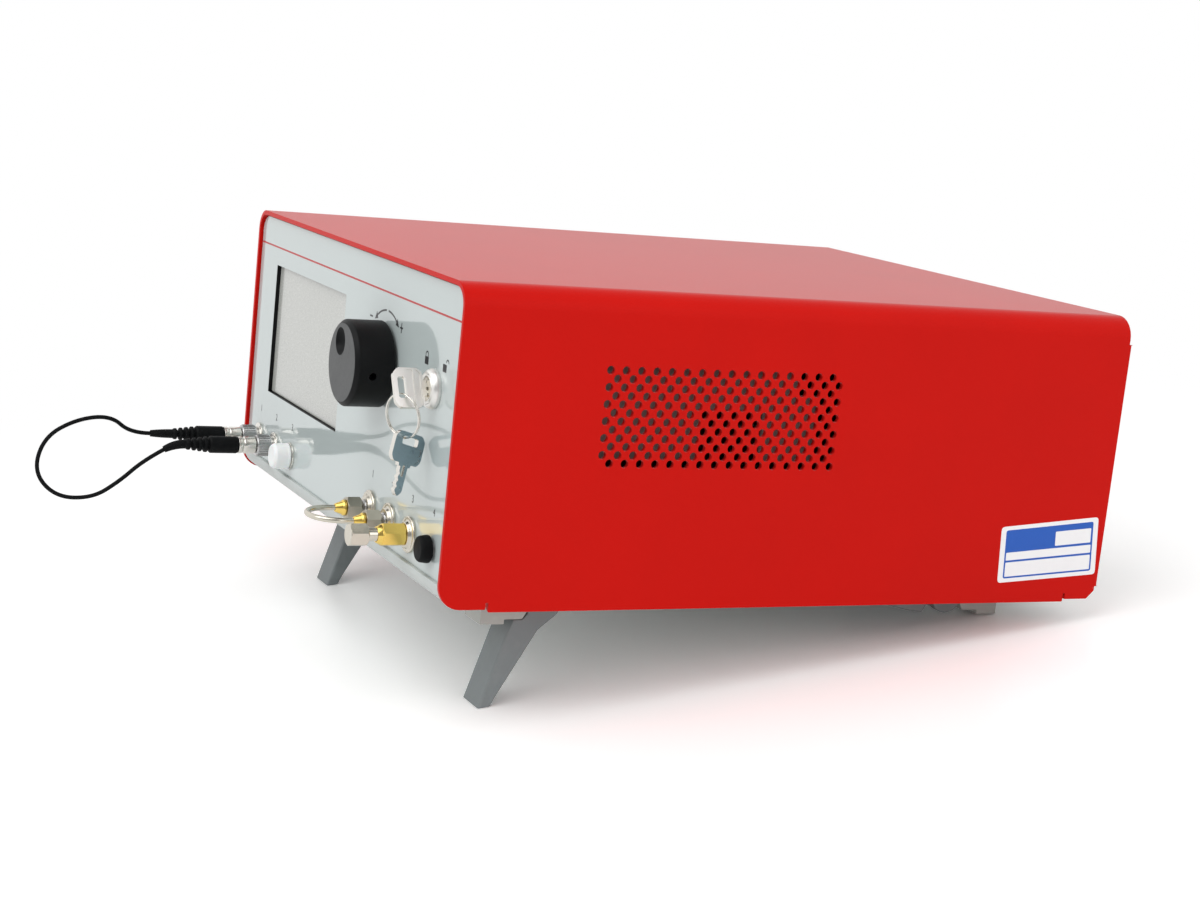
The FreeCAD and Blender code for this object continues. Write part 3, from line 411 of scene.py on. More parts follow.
FINISH_MAKERS = {
    "cover_red": powder_coat,
    "panel_film": panel_film,
    "tray_paint": lambda name: satin_paint(name, colour("tray")),
    "baffle_paint": lambda name: satin_paint(name, colour("baffle")),
    "display_face": display_face,
    "foot_moulding": lambda name: moulded(name, colour("foot"), 0.40),
    "leg_moulding": lambda name: moulded(name, colour("leg"), 0.42),
    "pad_rubber": lambda name: rubber(name, colour("pad")),
    "black_moulding": lambda name: moulded(name, colour("black"), 0.36, 0.16),
    # knob's flat face: real higher gloss, with a lighter grey colour as a painted reflection
    "knob_face": lambda name: moulded(name, colour("knob_face"), 0.30, 0.5),
    # spare key faces: painted reflection of the shaded panel, as a darker bluish nickel tone
    "spare_face": lambda name: plated(name, colour("spare"), 0.20, 0.12),
    "black_rubber": lambda name: rubber(name, colour("rubber")),
    "bright_nickel": lambda name: plated(name, colour("nickel"), 0.13, 0.12),
    "satin_nickel": lambda name: plated(name, colour("satin_nickel"), 0.36, 0.05),
    "warm_nickel": lambda name: plated(name, colour("warm_nickel"), 0.18, 0.12),
    "dull_nickel": lambda name: plated(name, colour("dull_nickel"), 0.26, 0.25),
    "plated_steel": lambda name: plated(name, colour("steel"), 0.24, 0.35),
    "gold_plate": lambda name: plated(name, colour("gold"), 0.16, 0.10),
    "white_moulding": white_moulding,
    "board_lacquer": lacquered_board,
    "dark_print": lambda name: printed(name, colour("mark")),
    "red_print": lambda name: printed(name, colour("line")),
    "blue_print": lambda name: printed(name, colour("label")),
    "label_film": label_film,
}


# Shapes, in millimetres.
class Shape:
    """Points and faces gathered before they become a mesh."""

    def __init__(self, points=(), faces=()):
        self.points = [Vector(point) for point in points]
        self.faces = [tuple(face) for face in faces]

    def add(self, other, place=None):
        start = len(self.points)
        self.points += [place @ point if place else point.copy() for point in other.points]
        self.faces += [tuple(start + corner for corner in face) for face in other.faces]
        return self

    def mesh(self, name, place=None, crease=38.0):
        """A mesh with its faces turned outwards and shaded smooth up to an angle."""
        made = bpy.data.meshes.new(name)
        made.from_pydata([place @ point if place else point for point in self.points], [], self.faces)
        face_outwards(made)
        smooth(made, crease)
        return made


def face_outwards(mesh):
    """Turns the faces of closed shells outwards."""
    shape = bmesh.new()
    shape.from_mesh(mesh)
    bmesh.ops.recalc_face_normals(shape, faces=shape.faces)
    shape.to_mesh(mesh)
    shape.free()


def smooth(mesh, crease):
    """Shades a mesh smooth, apart from edges sharper than an angle."""
    mesh.shade_smooth()
    mesh.set_sharp_from_angle(angle=math.radians(crease))


def eased(line, radius, closed=False, steps=3):
    """A line of points in a plane with its corners rounded."""
    total = len(line)
    made = []
    for count, corner in enumerate(line):
        here = Vector(corner)
        if not closed and count in (0, total - 1):
            made.append(tuple(here))
            continue
        back = Vector(line[count - 1]) - here
        ahead = Vector(line[(count + 1) % total]) - here
        reach = min(radius, 0.45 * back.length, 0.45 * ahead.length)
        first = here + back.normalized() * reach
        last = here + ahead.normalized() * reach
        for step in range(steps + 1):
            share = step / steps
            made.append(tuple(first * (1 - share) ** 2 + here * 2 * share * (1 - share) + last * share**2))
    return made


def arc(centre, radius, start, end, steps):
    """Points along an arc, its angles in degrees."""
    turns = [math.radians(start + (end - start) * step / steps) for step in range(steps + 1)]
    return [(centre[0] + radius * math.cos(turn), centre[1] + radius * math.sin(turn)) for turn in turns]


def lathe(profile, closed=False, segments=64):
    """A shape turned about z from pairs of radius and height. An open profile starts and ends on the axis."""
    shape = Shape()
    rings = []
    for radius, height in profile:
        count = 1 if radius < 1e-6 else segments
        rings.append(list(range(len(shape.points), len(shape.points) + count)))
        for step in range(count):
            turn = 2 * math.pi * step / segments
            shape.points.append(Vector((radius * math.cos(turn), radius * math.sin(turn), height)))
    pairs = list(zip(rings, rings[1:]))
    if closed:
        pairs.append((rings[-1], rings[0]))
    for low, high in pairs:
        for step in range(segments):
            after = (step + 1) % segments
            face = [low[step % len(low)], low[after % len(low)], high[after % len(high)], high[step % len(high)]]
            corners = tuple(dict.fromkeys(face))
            if len(corners) > 2:
                shape.faces.append(corners)
    return shape


def hexagon_bar(across, low, high, bore=0.0, chamfer=0.8, per_side=8):
    """A hexagonal bar along z with its corners turned off at both ends, and a bore if it has one."""
    flat = across / 2
    segments = 6 * per_side
    shape = Shape()
    rings = []

    def ring(radius_at, height_at):
        start = len(shape.points)
        for step in range(segments):
            turn = 2 * math.pi * step / segments
            reach = flat / math.cos((turn + math.pi / 6) % (math.pi / 3) - math.pi / 6)
            radius = radius_at(reach)
            point = (radius * math.cos(turn), radius * math.sin(turn), height_at(reach))
            shape.points.append(Vector(point))
        rings.append(start)

    slope = chamfer / (2 * flat / math.sqrt(3) - flat)
    ring(lambda reach: max(bore, 0.02), lambda reach: low)
    ring(lambda reach: flat - 0.05, lambda reach: low)
    ring(lambda reach: reach, lambda reach: low + 0.03 + (reach - flat) * slope)
    ring(lambda reach: reach, lambda reach: high - 0.03 - (reach - flat) * slope)
    ring(lambda reach: flat - 0.05, lambda reach: high)
    ring(lambda reach: max(bore, 0.02), lambda reach: high)
    for first, second in zip(rings, rings[1:] + rings[:1]):
        for step in range(segments):
            after = (step + 1) % segments
            shape.faces.append((first + step, first + after, second + after, second + step))
    return shape


def plate(outline, low, high, holes=()):
    """A flat plate on the xy plane from an outline and its holes."""
    loops = [list(outline), *[list(hole) for hole in holes]]
    flat = [point for loop in loops for point in loop]
    total = len(flat)
    shape = Shape([(*point, low) for point in flat] + [(*point, high) for point in flat])
    for face in tessellate_polygon([[Vector((*point, 0)) for point in loop] for loop in loops]):
        shape.faces.append(tuple(face))
        shape.faces.append(tuple(total + corner for corner in reversed(face)))
    start = 0
    for loop in loops:
        for count in range(len(loop)):
            near, far = start + count, start + (count + 1) % len(loop)
            shape.faces.append((near, far, total + far, total + near))
        start += len(loop)
    return shape


def rectangle(x, y, wide, tall):
    """The corners of a rectangle about its middle."""
    return [(x - wide / 2, y - tall / 2), (x + wide / 2, y - tall / 2), (x + wide / 2, y + tall / 2),
            (x - wide / 2, y + tall / 2)]


def tube(path, radius, segments=20):
    """A round tube along a path, closed at its ends. The radius is a number or a list along the path."""
    points = [Vector(point) for point in path]
    radii = radius if isinstance(radius, list) else [radius] * len(points)
    shape = Shape()
    side = None
    for count, point in enumerate(points):
        ahead = points[min(count + 1, len(points) - 1)] - points[max(count - 1, 0)]
        ahead.normalize()
        side = side or ahead.orthogonal()
        side = (side - ahead * side.dot(ahead)).normalized()
        across = ahead.cross(side)
        for step in range(segments):
            turn = 2 * math.pi * step / segments
            offset = side * math.cos(turn) + across * math.sin(turn)
            shape.points.append(point + offset * radii[count])
    for count in range(len(points) - 1):
        base = count * segments
        for step in range(segments):
            after = (step + 1) % segments
            face = (base + step, base + after, base + segments + after, base + segments + step)
            shape.faces.append(face)
    shape.faces.append(tuple(reversed(range(segments))))
    shape.faces.append(tuple(range((len(points) - 1) * segments, len(points) * segments)))
    return shape


# Finished pieces.
def helper_of(mesh):
    """An object that carries a mesh while modifiers work on it."""
    helper = bpy.data.objects.new("helper", mesh)
    bpy.context.scene.collection.objects.link(helper)
    return helper


def baked(helper):
    """The plain mesh of a helper with its modifiers, and the helper gone."""
    graph = bpy.context.evaluated_depsgraph_get()
    mesh = bpy.data.meshes.new_from_object(helper.evaluated_get(graph), depsgraph=graph)
    bpy.data.objects.remove(helper)
    return mesh


def ease_edges(helper, width, steps=2, angle=40.0):
    """Adds a rounded edge and even shading to a helper."""
    bevel = helper.modifiers.new("Ease", "BEVEL")
    bevel.width = width
    bevel.segments = steps
    bevel.limit_method = "ANGLE"
    bevel.angle_limit = math.radians(angle)
    even = helper.modifiers.new("Even", "WEIGHTED_NORMAL")
    even.keep_sharp = True


def refined(node, width, steps=2):
    """A copy of a CAD node's mesh, in metres, with its flat faces merged and its edges eased."""
    mesh = frame["nodes"][node].data.copy()
    mesh.materials.clear()
    shape = bmesh.new()
    shape.from_mesh(mesh)
    bmesh.ops.remove_doubles(shape, verts=shape.verts, dist=2e-6)
    flat = math.radians(0.5)
    bmesh.ops.dissolve_limit(shape, angle_limit=flat, verts=shape.verts, edges=shape.edges)
    shape.to_mesh(mesh)
    shape.free()
    if "custom_normal" in mesh.attributes:
        mesh.attributes.remove(mesh.attributes["custom_normal"])
    smooth(mesh, 60.0)
    helper = helper_of(mesh)
    ease_edges(helper, width * MM, steps)
    return baked(helper)


def piece(name, mesh, body, slot, *finishes, replaces=()):
    """A finished mesh as a piece that rides on a body, for CAD nodes; its slot argument is not used."""
    made = bpy.data.objects.new(name, mesh)
    bpy.context.scene.collection.objects.link(made)
    mesh.materials.clear()
    for item in finishes:
        mesh.materials.append(finish(item))
    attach(made, body)
    if replaces:
        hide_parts(*replaces)
    return made


def dress(node, name, mesh, *finishes):
    """A finished mesh in place of one CAD node."""
    return piece(name, mesh, BODY_OF[node], SLOT_OF[node], *finishes, replaces=[node])


def with_tree(mesh, tree, inputs):
    """A mesh run through a geometry tree with inputs by name, as a plain mesh."""
    helper = helper_of(mesh)
    grown = helper.modifiers.new("Grow", "NODES")
    grown.node_group = tree
    for item in tree.interface.items_tree:
        if item.item_type == "SOCKET" and item.in_out == "INPUT" and item.name in inputs:
            grown[item.identifier] = inputs[item.name]
    return baked(helper)


class Growth(Tree):
    """A geometry tree with named inputs that ends in real meshes with a material."""

    def __init__(self, name, **inputs):
        group = bpy.data.node_groups.new(name, "GeometryNodeTree")
        super().__init__(group)
        group.is_modifier = True
        group.interface.new_socket("Geometry", in_out="INPUT", socket_type="NodeSocketGeometry")
        for title, kind in inputs.items():
            group.interface.new_socket(title, in_out="INPUT", socket_type=f"NodeSocket{kind}")
        group.interface.new_socket("Geometry", in_out="OUTPUT", socket_type="NodeSocketGeometry")
        self.start = group.nodes.new("NodeGroupInput")

    def input(self, name):
        return Wire(self, self.start.outputs[name])

    def end(self, geometry):
        real = self.add("GeometryNodeRealizeInstances", {}, {"Geometry": geometry})
        made = self.add("GeometryNodeSetMaterial", {}, {"Geometry": real, "Material": self.input("Material")})
        self.add("NodeGroupOutput", {}, {0: made})
        return self.tree


def rib_tree():
    """Ribs along z, set round a turned piece."""
    made = Growth("Ribs Round", Count="Int", Radius="Float", Size="Vector", Height="Float", Material="Material")
    count = made.input("Count")
    circle = {"Vertices": count, "Radius": made.input("Radius")}
    lift = made.add("ShaderNodeCombineXYZ", {}, {"Z": made.input("Height")})
    points = made.add("GeometryNodeMeshCircle", {}, circle)
    points = made.add("GeometryNodeSetPosition", {}, {"Geometry": points, "Offset": lift})
    turn = made.add("GeometryNodeInputIndex") * (2 * math.pi) / count
    rib = made.add("GeometryNodeMeshCube", {}, {"Size": made.input("Size")})
    facing = made.add("ShaderNodeCombineXYZ", {}, {"Z": turn})
    ribs = {"Points": points, "Instance": rib, "Rotation": facing}
    ribs = made.add("GeometryNodeInstanceOnPoints", {}, ribs)
    return made.end(made.add("GeometryNodeJoinGeometry", {}, {0: [made.input("Geometry"), ribs]}))


def screw_tree():
    """A screw on every point of a mesh, turned to face one way."""
    made = Growth("Screws", Screw="Object", Turn="Vector", Material="Material")
    screw = made.add("GeometryNodeObjectInfo", {}, {"Object": made.input("Screw")}, output=4)
    spots = {"Points": made.input("Geometry"), "Instance": screw, "Rotation": made.input("Turn")}
    return made.end(made.add("GeometryNodeInstanceOnPoints", {}, spots))


def vent_tree():
    """A staggered field of round holes punched through a sheet, its rows on the yz plane."""
    names = {"Columns": "Int", "Rows": "Int", "Pitch": "Float", "Radius": "Float", "Reach": "Float"}
    made = Growth("Vents", **names, Middle="Vector", Material="Material")
    columns, rows, pitch = made.input("Columns"), made.input("Rows"), made.input("Pitch")
    grid = {
        "Size X": (columns - 1) * pitch,
        "Size Y": (rows - 1) * pitch * 0.5,
        "Vertices X": columns,
        "Vertices Y": rows,
    }
    points = made.add("GeometryNodeMeshGrid", {}, grid)
    line = made.add("GeometryNodeInputIndex") % rows % 2
    stagger = made.add("ShaderNodeCombineXYZ", {}, {"X": (1 - line) * pitch * 0.5})
    points = made.add("GeometryNodeSetPosition", {}, {"Geometry": points, "Offset": stagger})
    punch = {"Vertices": 20, "Radius": made.input("Radius"), "Depth": made.input("Reach")}
    punch = made.add("GeometryNodeMeshCylinder", {}, punch)
    punches = made.add("GeometryNodeInstanceOnPoints", {}, {"Points": points, "Instance": punch})
    punches = made.add("GeometryNodeRealizeInstances", {}, {"Geometry": punches})
    quarter = math.radians(90)
    facing = {"Geometry": punches, "Translation": made.input("Middle"), "Rotation": (quarter, 0, quarter)}
    punches = made.add("GeometryNodeTransform", {}, facing)
    sockets = {"Mesh 1": made.input("Geometry"), "Mesh 2": punches}
    settings = {"operation": "DIFFERENCE", "solver": "EXACT"}
    return made.end(made.add("GeometryNodeMeshBoolean", settings, sockets))


# Case.
VENT_FIRST = (59.7, 91.0)
FLANGE_ENDS = (20.0, 280.2)
FLANGE_STEP = 0.9
RELIEF = (1.0, 3.6)
END_RAISE = 1.05
REAR_CORNER = 3.5
BEND_STEPS = 8


def cover_sheet(at):
    """The outer skin of the folded cover, before it gets its thickness, in case millimetres."""
    half, deep, high, bend = at["cover_width"] / 2, at["cover_depth"], at["cover_height"], at["bend"]
    edge = half - at["flange"]
    skin = bmesh.new()

    def face(*points):
        skin.faces.new([skin.verts.new(point) for point in points])

    front, rear = FLANGE_ENDS
    wide, tall = RELIEF
    wall = [(deep, high - bend), (0, high - bend)]
    wall += arc((bend, END_RAISE + bend), bend, 180, 270, BEND_STEPS)
    wall += [(front - wide, END_RAISE), (front - wide, tall), (front, tall), (front, 0)]
    wall += [(rear, 0), (rear, tall), (rear + wide, tall), (rear + wide, END_RAISE)]
    wall += [(deep - REAR_CORNER, END_RAISE), (deep, END_RAISE + REAR_CORNER)]
    flange_low, flange_high = END_RAISE + REAR_CORNER + 2, high - bend - 2
    back = deep + FLANGE_STEP
    wall += [(deep, flange_low), (back, flange_low), (back, flange_high), (deep, flange_high)]
    for side in (-1, 1):
        face(*[(half * side, y, z) for y, z in wall])
        corner = arc((half - bend, high - bend), bend, 0, 90, BEND_STEPS)
        for (near, low), (far, up) in zip(corner, corner[1:]):
            face((near * side, 0, low), (far * side, 0, up), (far * side, deep, up), (near * side, deep, low))
        mitre = at["flange"]
        face(
            (half * side, front, 0),
            (half * side, rear, 0),
            (edge * side, rear - mitre, 0),
            (edge * side, front + mitre, 0),
        )
        face(
            (half * side, back, flange_low),
            (half * side, back, flange_high),
            (edge * side, back, flange_high),
            (edge * side, back, flange_low),
        )
    flat = half - bend
    rim = [(flat, deep, high), (edge, deep, high), (-edge, deep, high), (-flat, deep, high)]
    face((-flat, 0, high), (flat, 0, high), *rim)
    lip_low = high - at["flange"]
    face((edge, deep, high), (-edge, deep, high), (-edge, deep, lip_low), (edge, deep, lip_low))
    bmesh.ops.remove_doubles(skin, verts=skin.verts, dist=1e-4)
    bmesh.ops.recalc_face_normals(skin, faces=skin.faces)
    top = max(skin.faces, key=lambda item: item.calc_center_median().z)
    if top.normal.z < 0:
        bmesh.ops.reverse_faces(skin, faces=skin.faces)
    mesh = bpy.data.meshes.new("cover_skin")
    skin.to_mesh(mesh)
    skin.free()
    return mesh


def build_cover():
    """The vented cover and the screws that hold it from behind."""
    at = sizes()
    helper = helper_of(cover_sheet(at))
    thick = helper.modifiers.new("Thick", "SOLIDIFY")
    thick.thickness = at["sheet"]
    thick.offset = -1
    thick.use_even_offset = True
    ease = helper.modifiers.new("Ease", "BEVEL")
    ease.width = 0.45
    ease.segments = 2
    ease.limit_method = "ANGLE"
    ease.angle_limit = math.radians(40)
    pitch = at["vent_pitch"]
    middle = (
        at["cover_width"] / 2,
        VENT_FIRST[0] + pitch * (at["vent_columns"] - 1) / 2,
        VENT_FIRST[1] - pitch * (at["vent_rows"] - 1) / 4,
    )
    vents = {
        "Columns": at["vent_columns"],
        "Rows": at["vent_rows"],
        "Pitch": pitch,
        "Radius": at["vent_radius"],
        "Reach": 10.0,
        "Middle": middle,
        "Material": finish("cover_red"),
    }
    helper = helper_of(with_tree(baked(helper), vent_tree(), vents))
    smooth(helper.data, 30.0)
    even = helper.modifiers.new("Even", "WEIGHTED_NORMAL")
    even.keep_sharp = True
    mesh = baked(helper)
    mesh.transform(CASE)
    dress("top_cover", "vented_cover", mesh, "cover_red")

    head = eased([(0, 2.1), (1.7, 1.9), (2.8, 1.1), (2.8, 0), (1.5, 0), (1.5, -5), (0, -5)], 0.35)
    screw = helper_of(lathe(head, segments=32).mesh("screw"))
    cross = Shape()
    for turn in (0, 90):
        bar = plate(rectangle(0, 0, 2.6, 0.55), 1.0, 3.0)
        cross.add(bar, Matrix.Rotation(math.radians(turn), 4, "Z"))
    screw = helper_of(cut_by(screw, cross))
    spots = bpy.data.meshes.new("screw_spots")
    rear = on_rear(0, 0).inverted() @ CASE
    spots.from_pydata([rear @ Vector((x, REAR_FACE + at["sheet"], z)) for x, z in COVER_SCREWS], [], [])
    screws = {"Screw": screw, "Turn": (0, 0, 0.4), "Material": finish("plated_steel")}
    mesh = with_tree(spots, screw_tree(), screws)
    bpy.data.objects.remove(screw)
    mesh.transform(on_rear(0, 0))
    smooth(mesh, 35.0)
    dress("cover_screws", "cover_screw_heads", mesh, "plated_steel")


def cut_by(helper, *cutters):
    """The plain mesh of a helper with other shapes cut out of it."""
    tools = []
    for count, cutter in enumerate(cutters):
        tool = helper_of(cutter.mesh(f"cutter_{count}"))
        work = helper.modifiers.new("Cut", "BOOLEAN")
        work.operation = "DIFFERENCE"
        work.solver = "EXACT"
        work.use_self = True
        work.object = tool
        tools.append(tool)
    mesh = baked(helper)
    for tool in tools:
        bpy.data.objects.remove(tool)
    return mesh


def build_chassis():
    """The tray, the rear panel and the plate behind the vents."""
    dress("chassis_tray", "tray_folded", refined("chassis_tray", 0.3), "tray_paint")
    dress("rear_panel", "rear_plate", refined("rear_panel", 0.3), "tray_paint")
    dress("vent_baffle", "vent_plate", refined("vent_baffle", 0.25), "baffle_paint")


def build_panel():
    """The front panel, with the walls of its window blackened: painted shade inside the recess."""
    mesh = refined("front_panel", 0.3)
    made = dress("front_panel", "front_plate", mesh, "panel_film", "black_moulding")
    inside = CASE.inverted()
    x, z, wide, tall = WINDOW
    turn = inside.to_3x3().normalized()
    for face in made.data.polygons:
        spot = inside @ face.center
        across = abs((turn @ face.normal).y) < 0.5
        # The window's walls take the black moulding: painted shade inside the recess.
        if across and abs(spot.x - x) < wide / 2 + 0.5 and abs(spot.z - z) < tall / 2 + 0.5:
            face.material_index = 1


# Printed marks on the panel.
LINE_Z = 105.5
LINE_TALL = 0.75
ARROW_RADIUS = 20.8
ARROW_WIDE = 0.75


def print_on(name, shapes, place, ink):
    """Thin printed shapes on the front panel."""
    at = sizes()
    whole = Shape()
    for outline, holes in shapes:
        whole.add(plate(outline, -0.05, at["print_lift"], holes))
    piece(name, whole.mesh(name, place), "case", SLOT_OF["front_panel"], ink)


def bow_arrow(radius, start, end, head):
    """The outline of an arc with an arrow head on its end."""
    steps = 14
    inner, outer = radius - ARROW_WIDE / 2, radius + ARROW_WIDE / 2
    body = end - math.copysign(9, end - start)
    line = arc((0, 0), outer, start, body, steps)
    line += arc((0, 0), radius + head, body, body, 1)[:1]
    line += arc((0, 0), radius, end, end, 1)[:1]
    line += arc((0, 0), radius - head, body, body, 1)[:1]
    return line + arc((0, 0), inner, body, start, steps)


def padlock(x, y, swing):
    """A small padlock: its body, and a shackle closed or swung open."""
    body = eased(rectangle(x, y, 3.6, 2.9), 0.4, closed=True)
    shackle = []
    for radius, turns in ((1.45, (0, 180)), (0.95, (180, 0))):
        shackle += arc((x + swing, y + 2.1), radius, *turns, 8)
    foot = [(x + swing - 0.95, y + 1.3), (x + swing - 1.45, y + 1.3)]
    if swing:
        return [(body, ()), (shackle, ())]
    other = [(x + 1.45, y + 1.3), (x + 0.95, y + 1.3)]
    ends = [foot + [(x - 1.45, y + 2.1), (x - 0.95, y + 2.1)], other + [(x + 0.95, y + 2.1), (x + 1.45, y + 2.1)]]
    return [(body, ()), (shackle, ()), *[(end, ()) for end in ends]]


def number_mesh(text, size):
    """A plain number as a thin mesh in millimetres, about its middle."""
    letters = bpy.data.curves.new("number", "FONT")
    letters.body = text
    letters.size = size
    letters.align_x = "CENTER"
    letters.align_y = "CENTER"
    letters.extrude = 0.04
    return baked(helper_of(letters))


def build_prints():
    """The red line, the knob's arrows and signs, the padlocks and the port numbers."""
    line = rectangle(0, LINE_Z, 2 * 121.8, LINE_TALL)
    print_on("panel_line", [(line, ())], on_front(0, 0), "red_print")
    marks = [
        (bow_arrow(ARROW_RADIUS, 94, 131, 1.5), ()),
        (bow_arrow(ARROW_RADIUS, 88, 51, 1.5), ()),
        (rectangle(-17.9, 16.2, 3.0, 0.7), ()),
        (rectangle(16.0, 16.5, 3.0, 0.7), ()),
        (rectangle(16.0, 17.65, 0.7, 1.6), ()),
        (rectangle(16.0, 15.35, 0.7, 1.6), ()),
    ]
    print_on("knob_marks", marks, on_front(KNOB_X, CONTROLS_Z), "dark_print")
    signs = padlock(-9.6, 9.0, 0.0) + padlock(8.5, 9.1, 2.4)
    print_on("lock_marks", signs, on_front(LOCK_X, CONTROLS_Z), "dark_print")
    ports = [(FIBRE_X + FIBRE_STEP * count, FIBRE_Z + 12.5, count + 1) for count in range(3)]
    ports += [(RADIO_X + RADIO_STEP * count, RADIO_Z + 13.5, count + 1) for count in range(4)]
    for count, (x, z, number) in enumerate(ports):
        mesh = number_mesh(str(number), 4.2)
        mesh.transform(on_front(x, z))
        piece(f"port_number_{count + 1}", mesh, "case", SLOT_OF["front_panel"], "dark_print")


LABEL_CORNERS = [(245.6, 8.5), (295.0, 11.8), (292.8, 36.3), (244.2, 32.0)]


def build_label():
    """A blank white and blue label on the right side of the cover."""
    at = sizes()
    face = (
        CASE
        @ Matrix.Translation((at["cover_width"] / 2, 0, 0))
        @ Matrix.Rotation(math.radians(90), 4, "Z")
        @ UPRIGHT
    )
    low_left, low_right, high_right, high_left = [Vector(corner) for corner in LABEL_CORNERS]

    def spot(across, up):
        low = low_left.lerp(low_right, across)
        return tuple(low.lerp(high_left.lerp(high_right, across), up))

    def field(left, bottom, right, top):
        return [spot(left, bottom), spot(right, bottom), spot(right, top), spot(left, top)]

    base = plate(eased(field(0, 0, 1, 1), 1.6, closed=True), -0.05, 0.10)
    piece("blank_label", base.mesh("blank_label", face), "case", SLOT_OF["top_cover"], "label_film")
    band = eased(field(0.05, 0.07, 0.95, 0.93), 1.0, closed=True)
    white = [field(0.56, 0.57, 0.93, 0.82), field(0.065, 0.39, 0.935, 0.53), field(0.065, 0.10, 0.935, 0.355)]
    ink = plate(band, 0.0, 0.12, [eased(item, 0.4, closed=True) for item in white])
    piece("label_print", ink.mesh("label_print", face), "case", SLOT_OF["top_cover"], "blue_print")


def build_display():
    """The glass and the module of the display."""
    dress("display_glass", "display_window", refined("display_glass", 0.15), "display_face")
    dress("display_module", "display_back", refined("display_module", 0.2), "plated_steel")


def build_feet():
    """The feet, their pads and pins, and the flip legs."""
    for end in ("front", "rear"):
        for side in ("left", "right"):
            foot, leg = f"{end}_{side}_foot", f"{end}_{side}_leg"
            dress(foot, f"{foot}_block", refined(foot, 0.35), "foot_moulding")
            dress(leg, f"{leg}_moulding", refined(leg, 0.35), "leg_moulding")
    dress("foot_pads", "foot_pad_set", refined("foot_pads", 0.4), "pad_rubber")
    dress("leg_pins", "leg_pin_set", refined("leg_pins", 0.2), "plated_steel")


# Controls.
KNOB_STANDS = -8.6
DIMPLE_BALL = 6.4
DIMPLE_AT = (-4.3, 7.2, 3.4)
SET_SCREW_OUT = 10.0


def build_knob():
    """The push knob with its finger dimple, set screw, shaft and encoder."""
    at = sizes()
    wide, out = at["knob_radius"], at["knob_length"]
    profile = [(0, out), (wide - 1.5, out), (wide, out - 1.5), (wide, 1.6), (wide - 0.6, 1),
               (9.5, 1), (9.5, 6), (0, 6)]
    grip = helper_of(lathe(eased(profile, 0.45), segments=128).mesh("grip"))
    dish = lathe(arc((0, 0), DIMPLE_BALL, -90, 90, 36), segments=64)
    x, y, lift = DIMPLE_AT
    dimple = Shape().add(dish, Matrix.Translation((x, y, out + lift)))
    hole = lathe([(0, 9.4), (1.5, 9.4), (1.5, 20), (0, 20)], segments=32)
    sideways = Matrix.Translation((0, 0, SET_SCREW_OUT)) @ Matrix.Rotation(math.radians(90), 4, "Y")
    mesh = cut_by(grip, dimple, Shape().add(hole, sideways))
    helper = helper_of(mesh)
    smooth(mesh, 50.0)
    ease_edges(helper, 0.2, 2, 35.0)
    mesh = baked(helper)
    # The flat face gets the glossier finish, whose lighter grey colour is a painted reflection of the bright
    # surround.
    painted_reflection_faces = [face.index for face in mesh.polygons if face.center.z > out - 0.02]
    place = on_front(KNOB_X, CONTROLS_Z) @ Matrix.Rotation(math.radians(KNOB_STANDS), 4, "Z")
    mesh.transform(place)
    made = dress("knob", "knob_grip", mesh, "black_moulding", "knob_face")
    for count in painted_reflection_faces:
        made.data.polygons[count].material_index = 1
    grub_profile = eased([(0, 12.5), (1.42, 12.5), (1.42, 2.1), (0, 2.1)], 0.25)
    screw = helper_of(lathe(grub_profile, segments=32).mesh("grub"))
    socket = hexagon_bar(1.5, 11.1, 13.5, chamfer=0.05)
    mesh = cut_by(screw, socket)
    smooth(mesh, 35.0)
    mesh.transform(place @ sideways)
    dress("knob_set_screw", "knob_grub_screw", mesh, "black_moulding")
    for node, finish_name in (("knob_shaft", "plated_steel"), ("encoder_nut", "bright_nickel"),
                              ("encoder_body", "black_moulding"), ("encoder_rotor", "black_moulding")):
        dress(node, f"{node}_part", refined(node, 0.15), finish_name)


KEY_TURN = 30.0
KEY_THICK = 1.8
KEY_OUTLINE = [
    (-7.7, 6.4), (-6.1, 4.4), (-3.0, 4.4), (-3.0, 3.2), (-1.9, 3.2), (-1.9, 1.3), (-1.1, 0.4), (-1.9, -0.5),
    (-1.9, -1.1), (-1.1, -2.0), (-1.9, -2.9), (-1.9, -3.5), (-1.1, -4.4), (-1.9, -5.3), (-1.9, -6.0), (-0.3, -7.6),
    (0.3, -7.6), (1.9, -6.0), (1.9, 3.2), (3.0, 3.2), (3.0, 4.4), (6.1, 4.4), (7.7, 6.4), (7.7, 13.8),
    (5.7, 15.8), (-5.7, 15.8), (-7.7, 13.8),
]
KEY_SLOT = (0.0, 12.7, 8.2, 3.0)
KEY_FIELDS = [
    [(-6.9, 8.0), (6.9, 8.0), (6.9, 10.8), (-6.9, 10.8)],
    [(-5.6, 5.2), (5.6, 5.2), (6.9, 6.6), (6.9, 7.3), (-6.9, 7.3), (-6.9, 6.6)],
]
KEY_GROOVE = (-0.3, 1.6, 1.5, 4.2)
KEY_SUNK = 0.36
KEY_EASE = 0.14
SPARE_ACROSS = 24.4
SPARE_LEAN = 23.9
SPARE_HOLD = (2.9, 13.4)


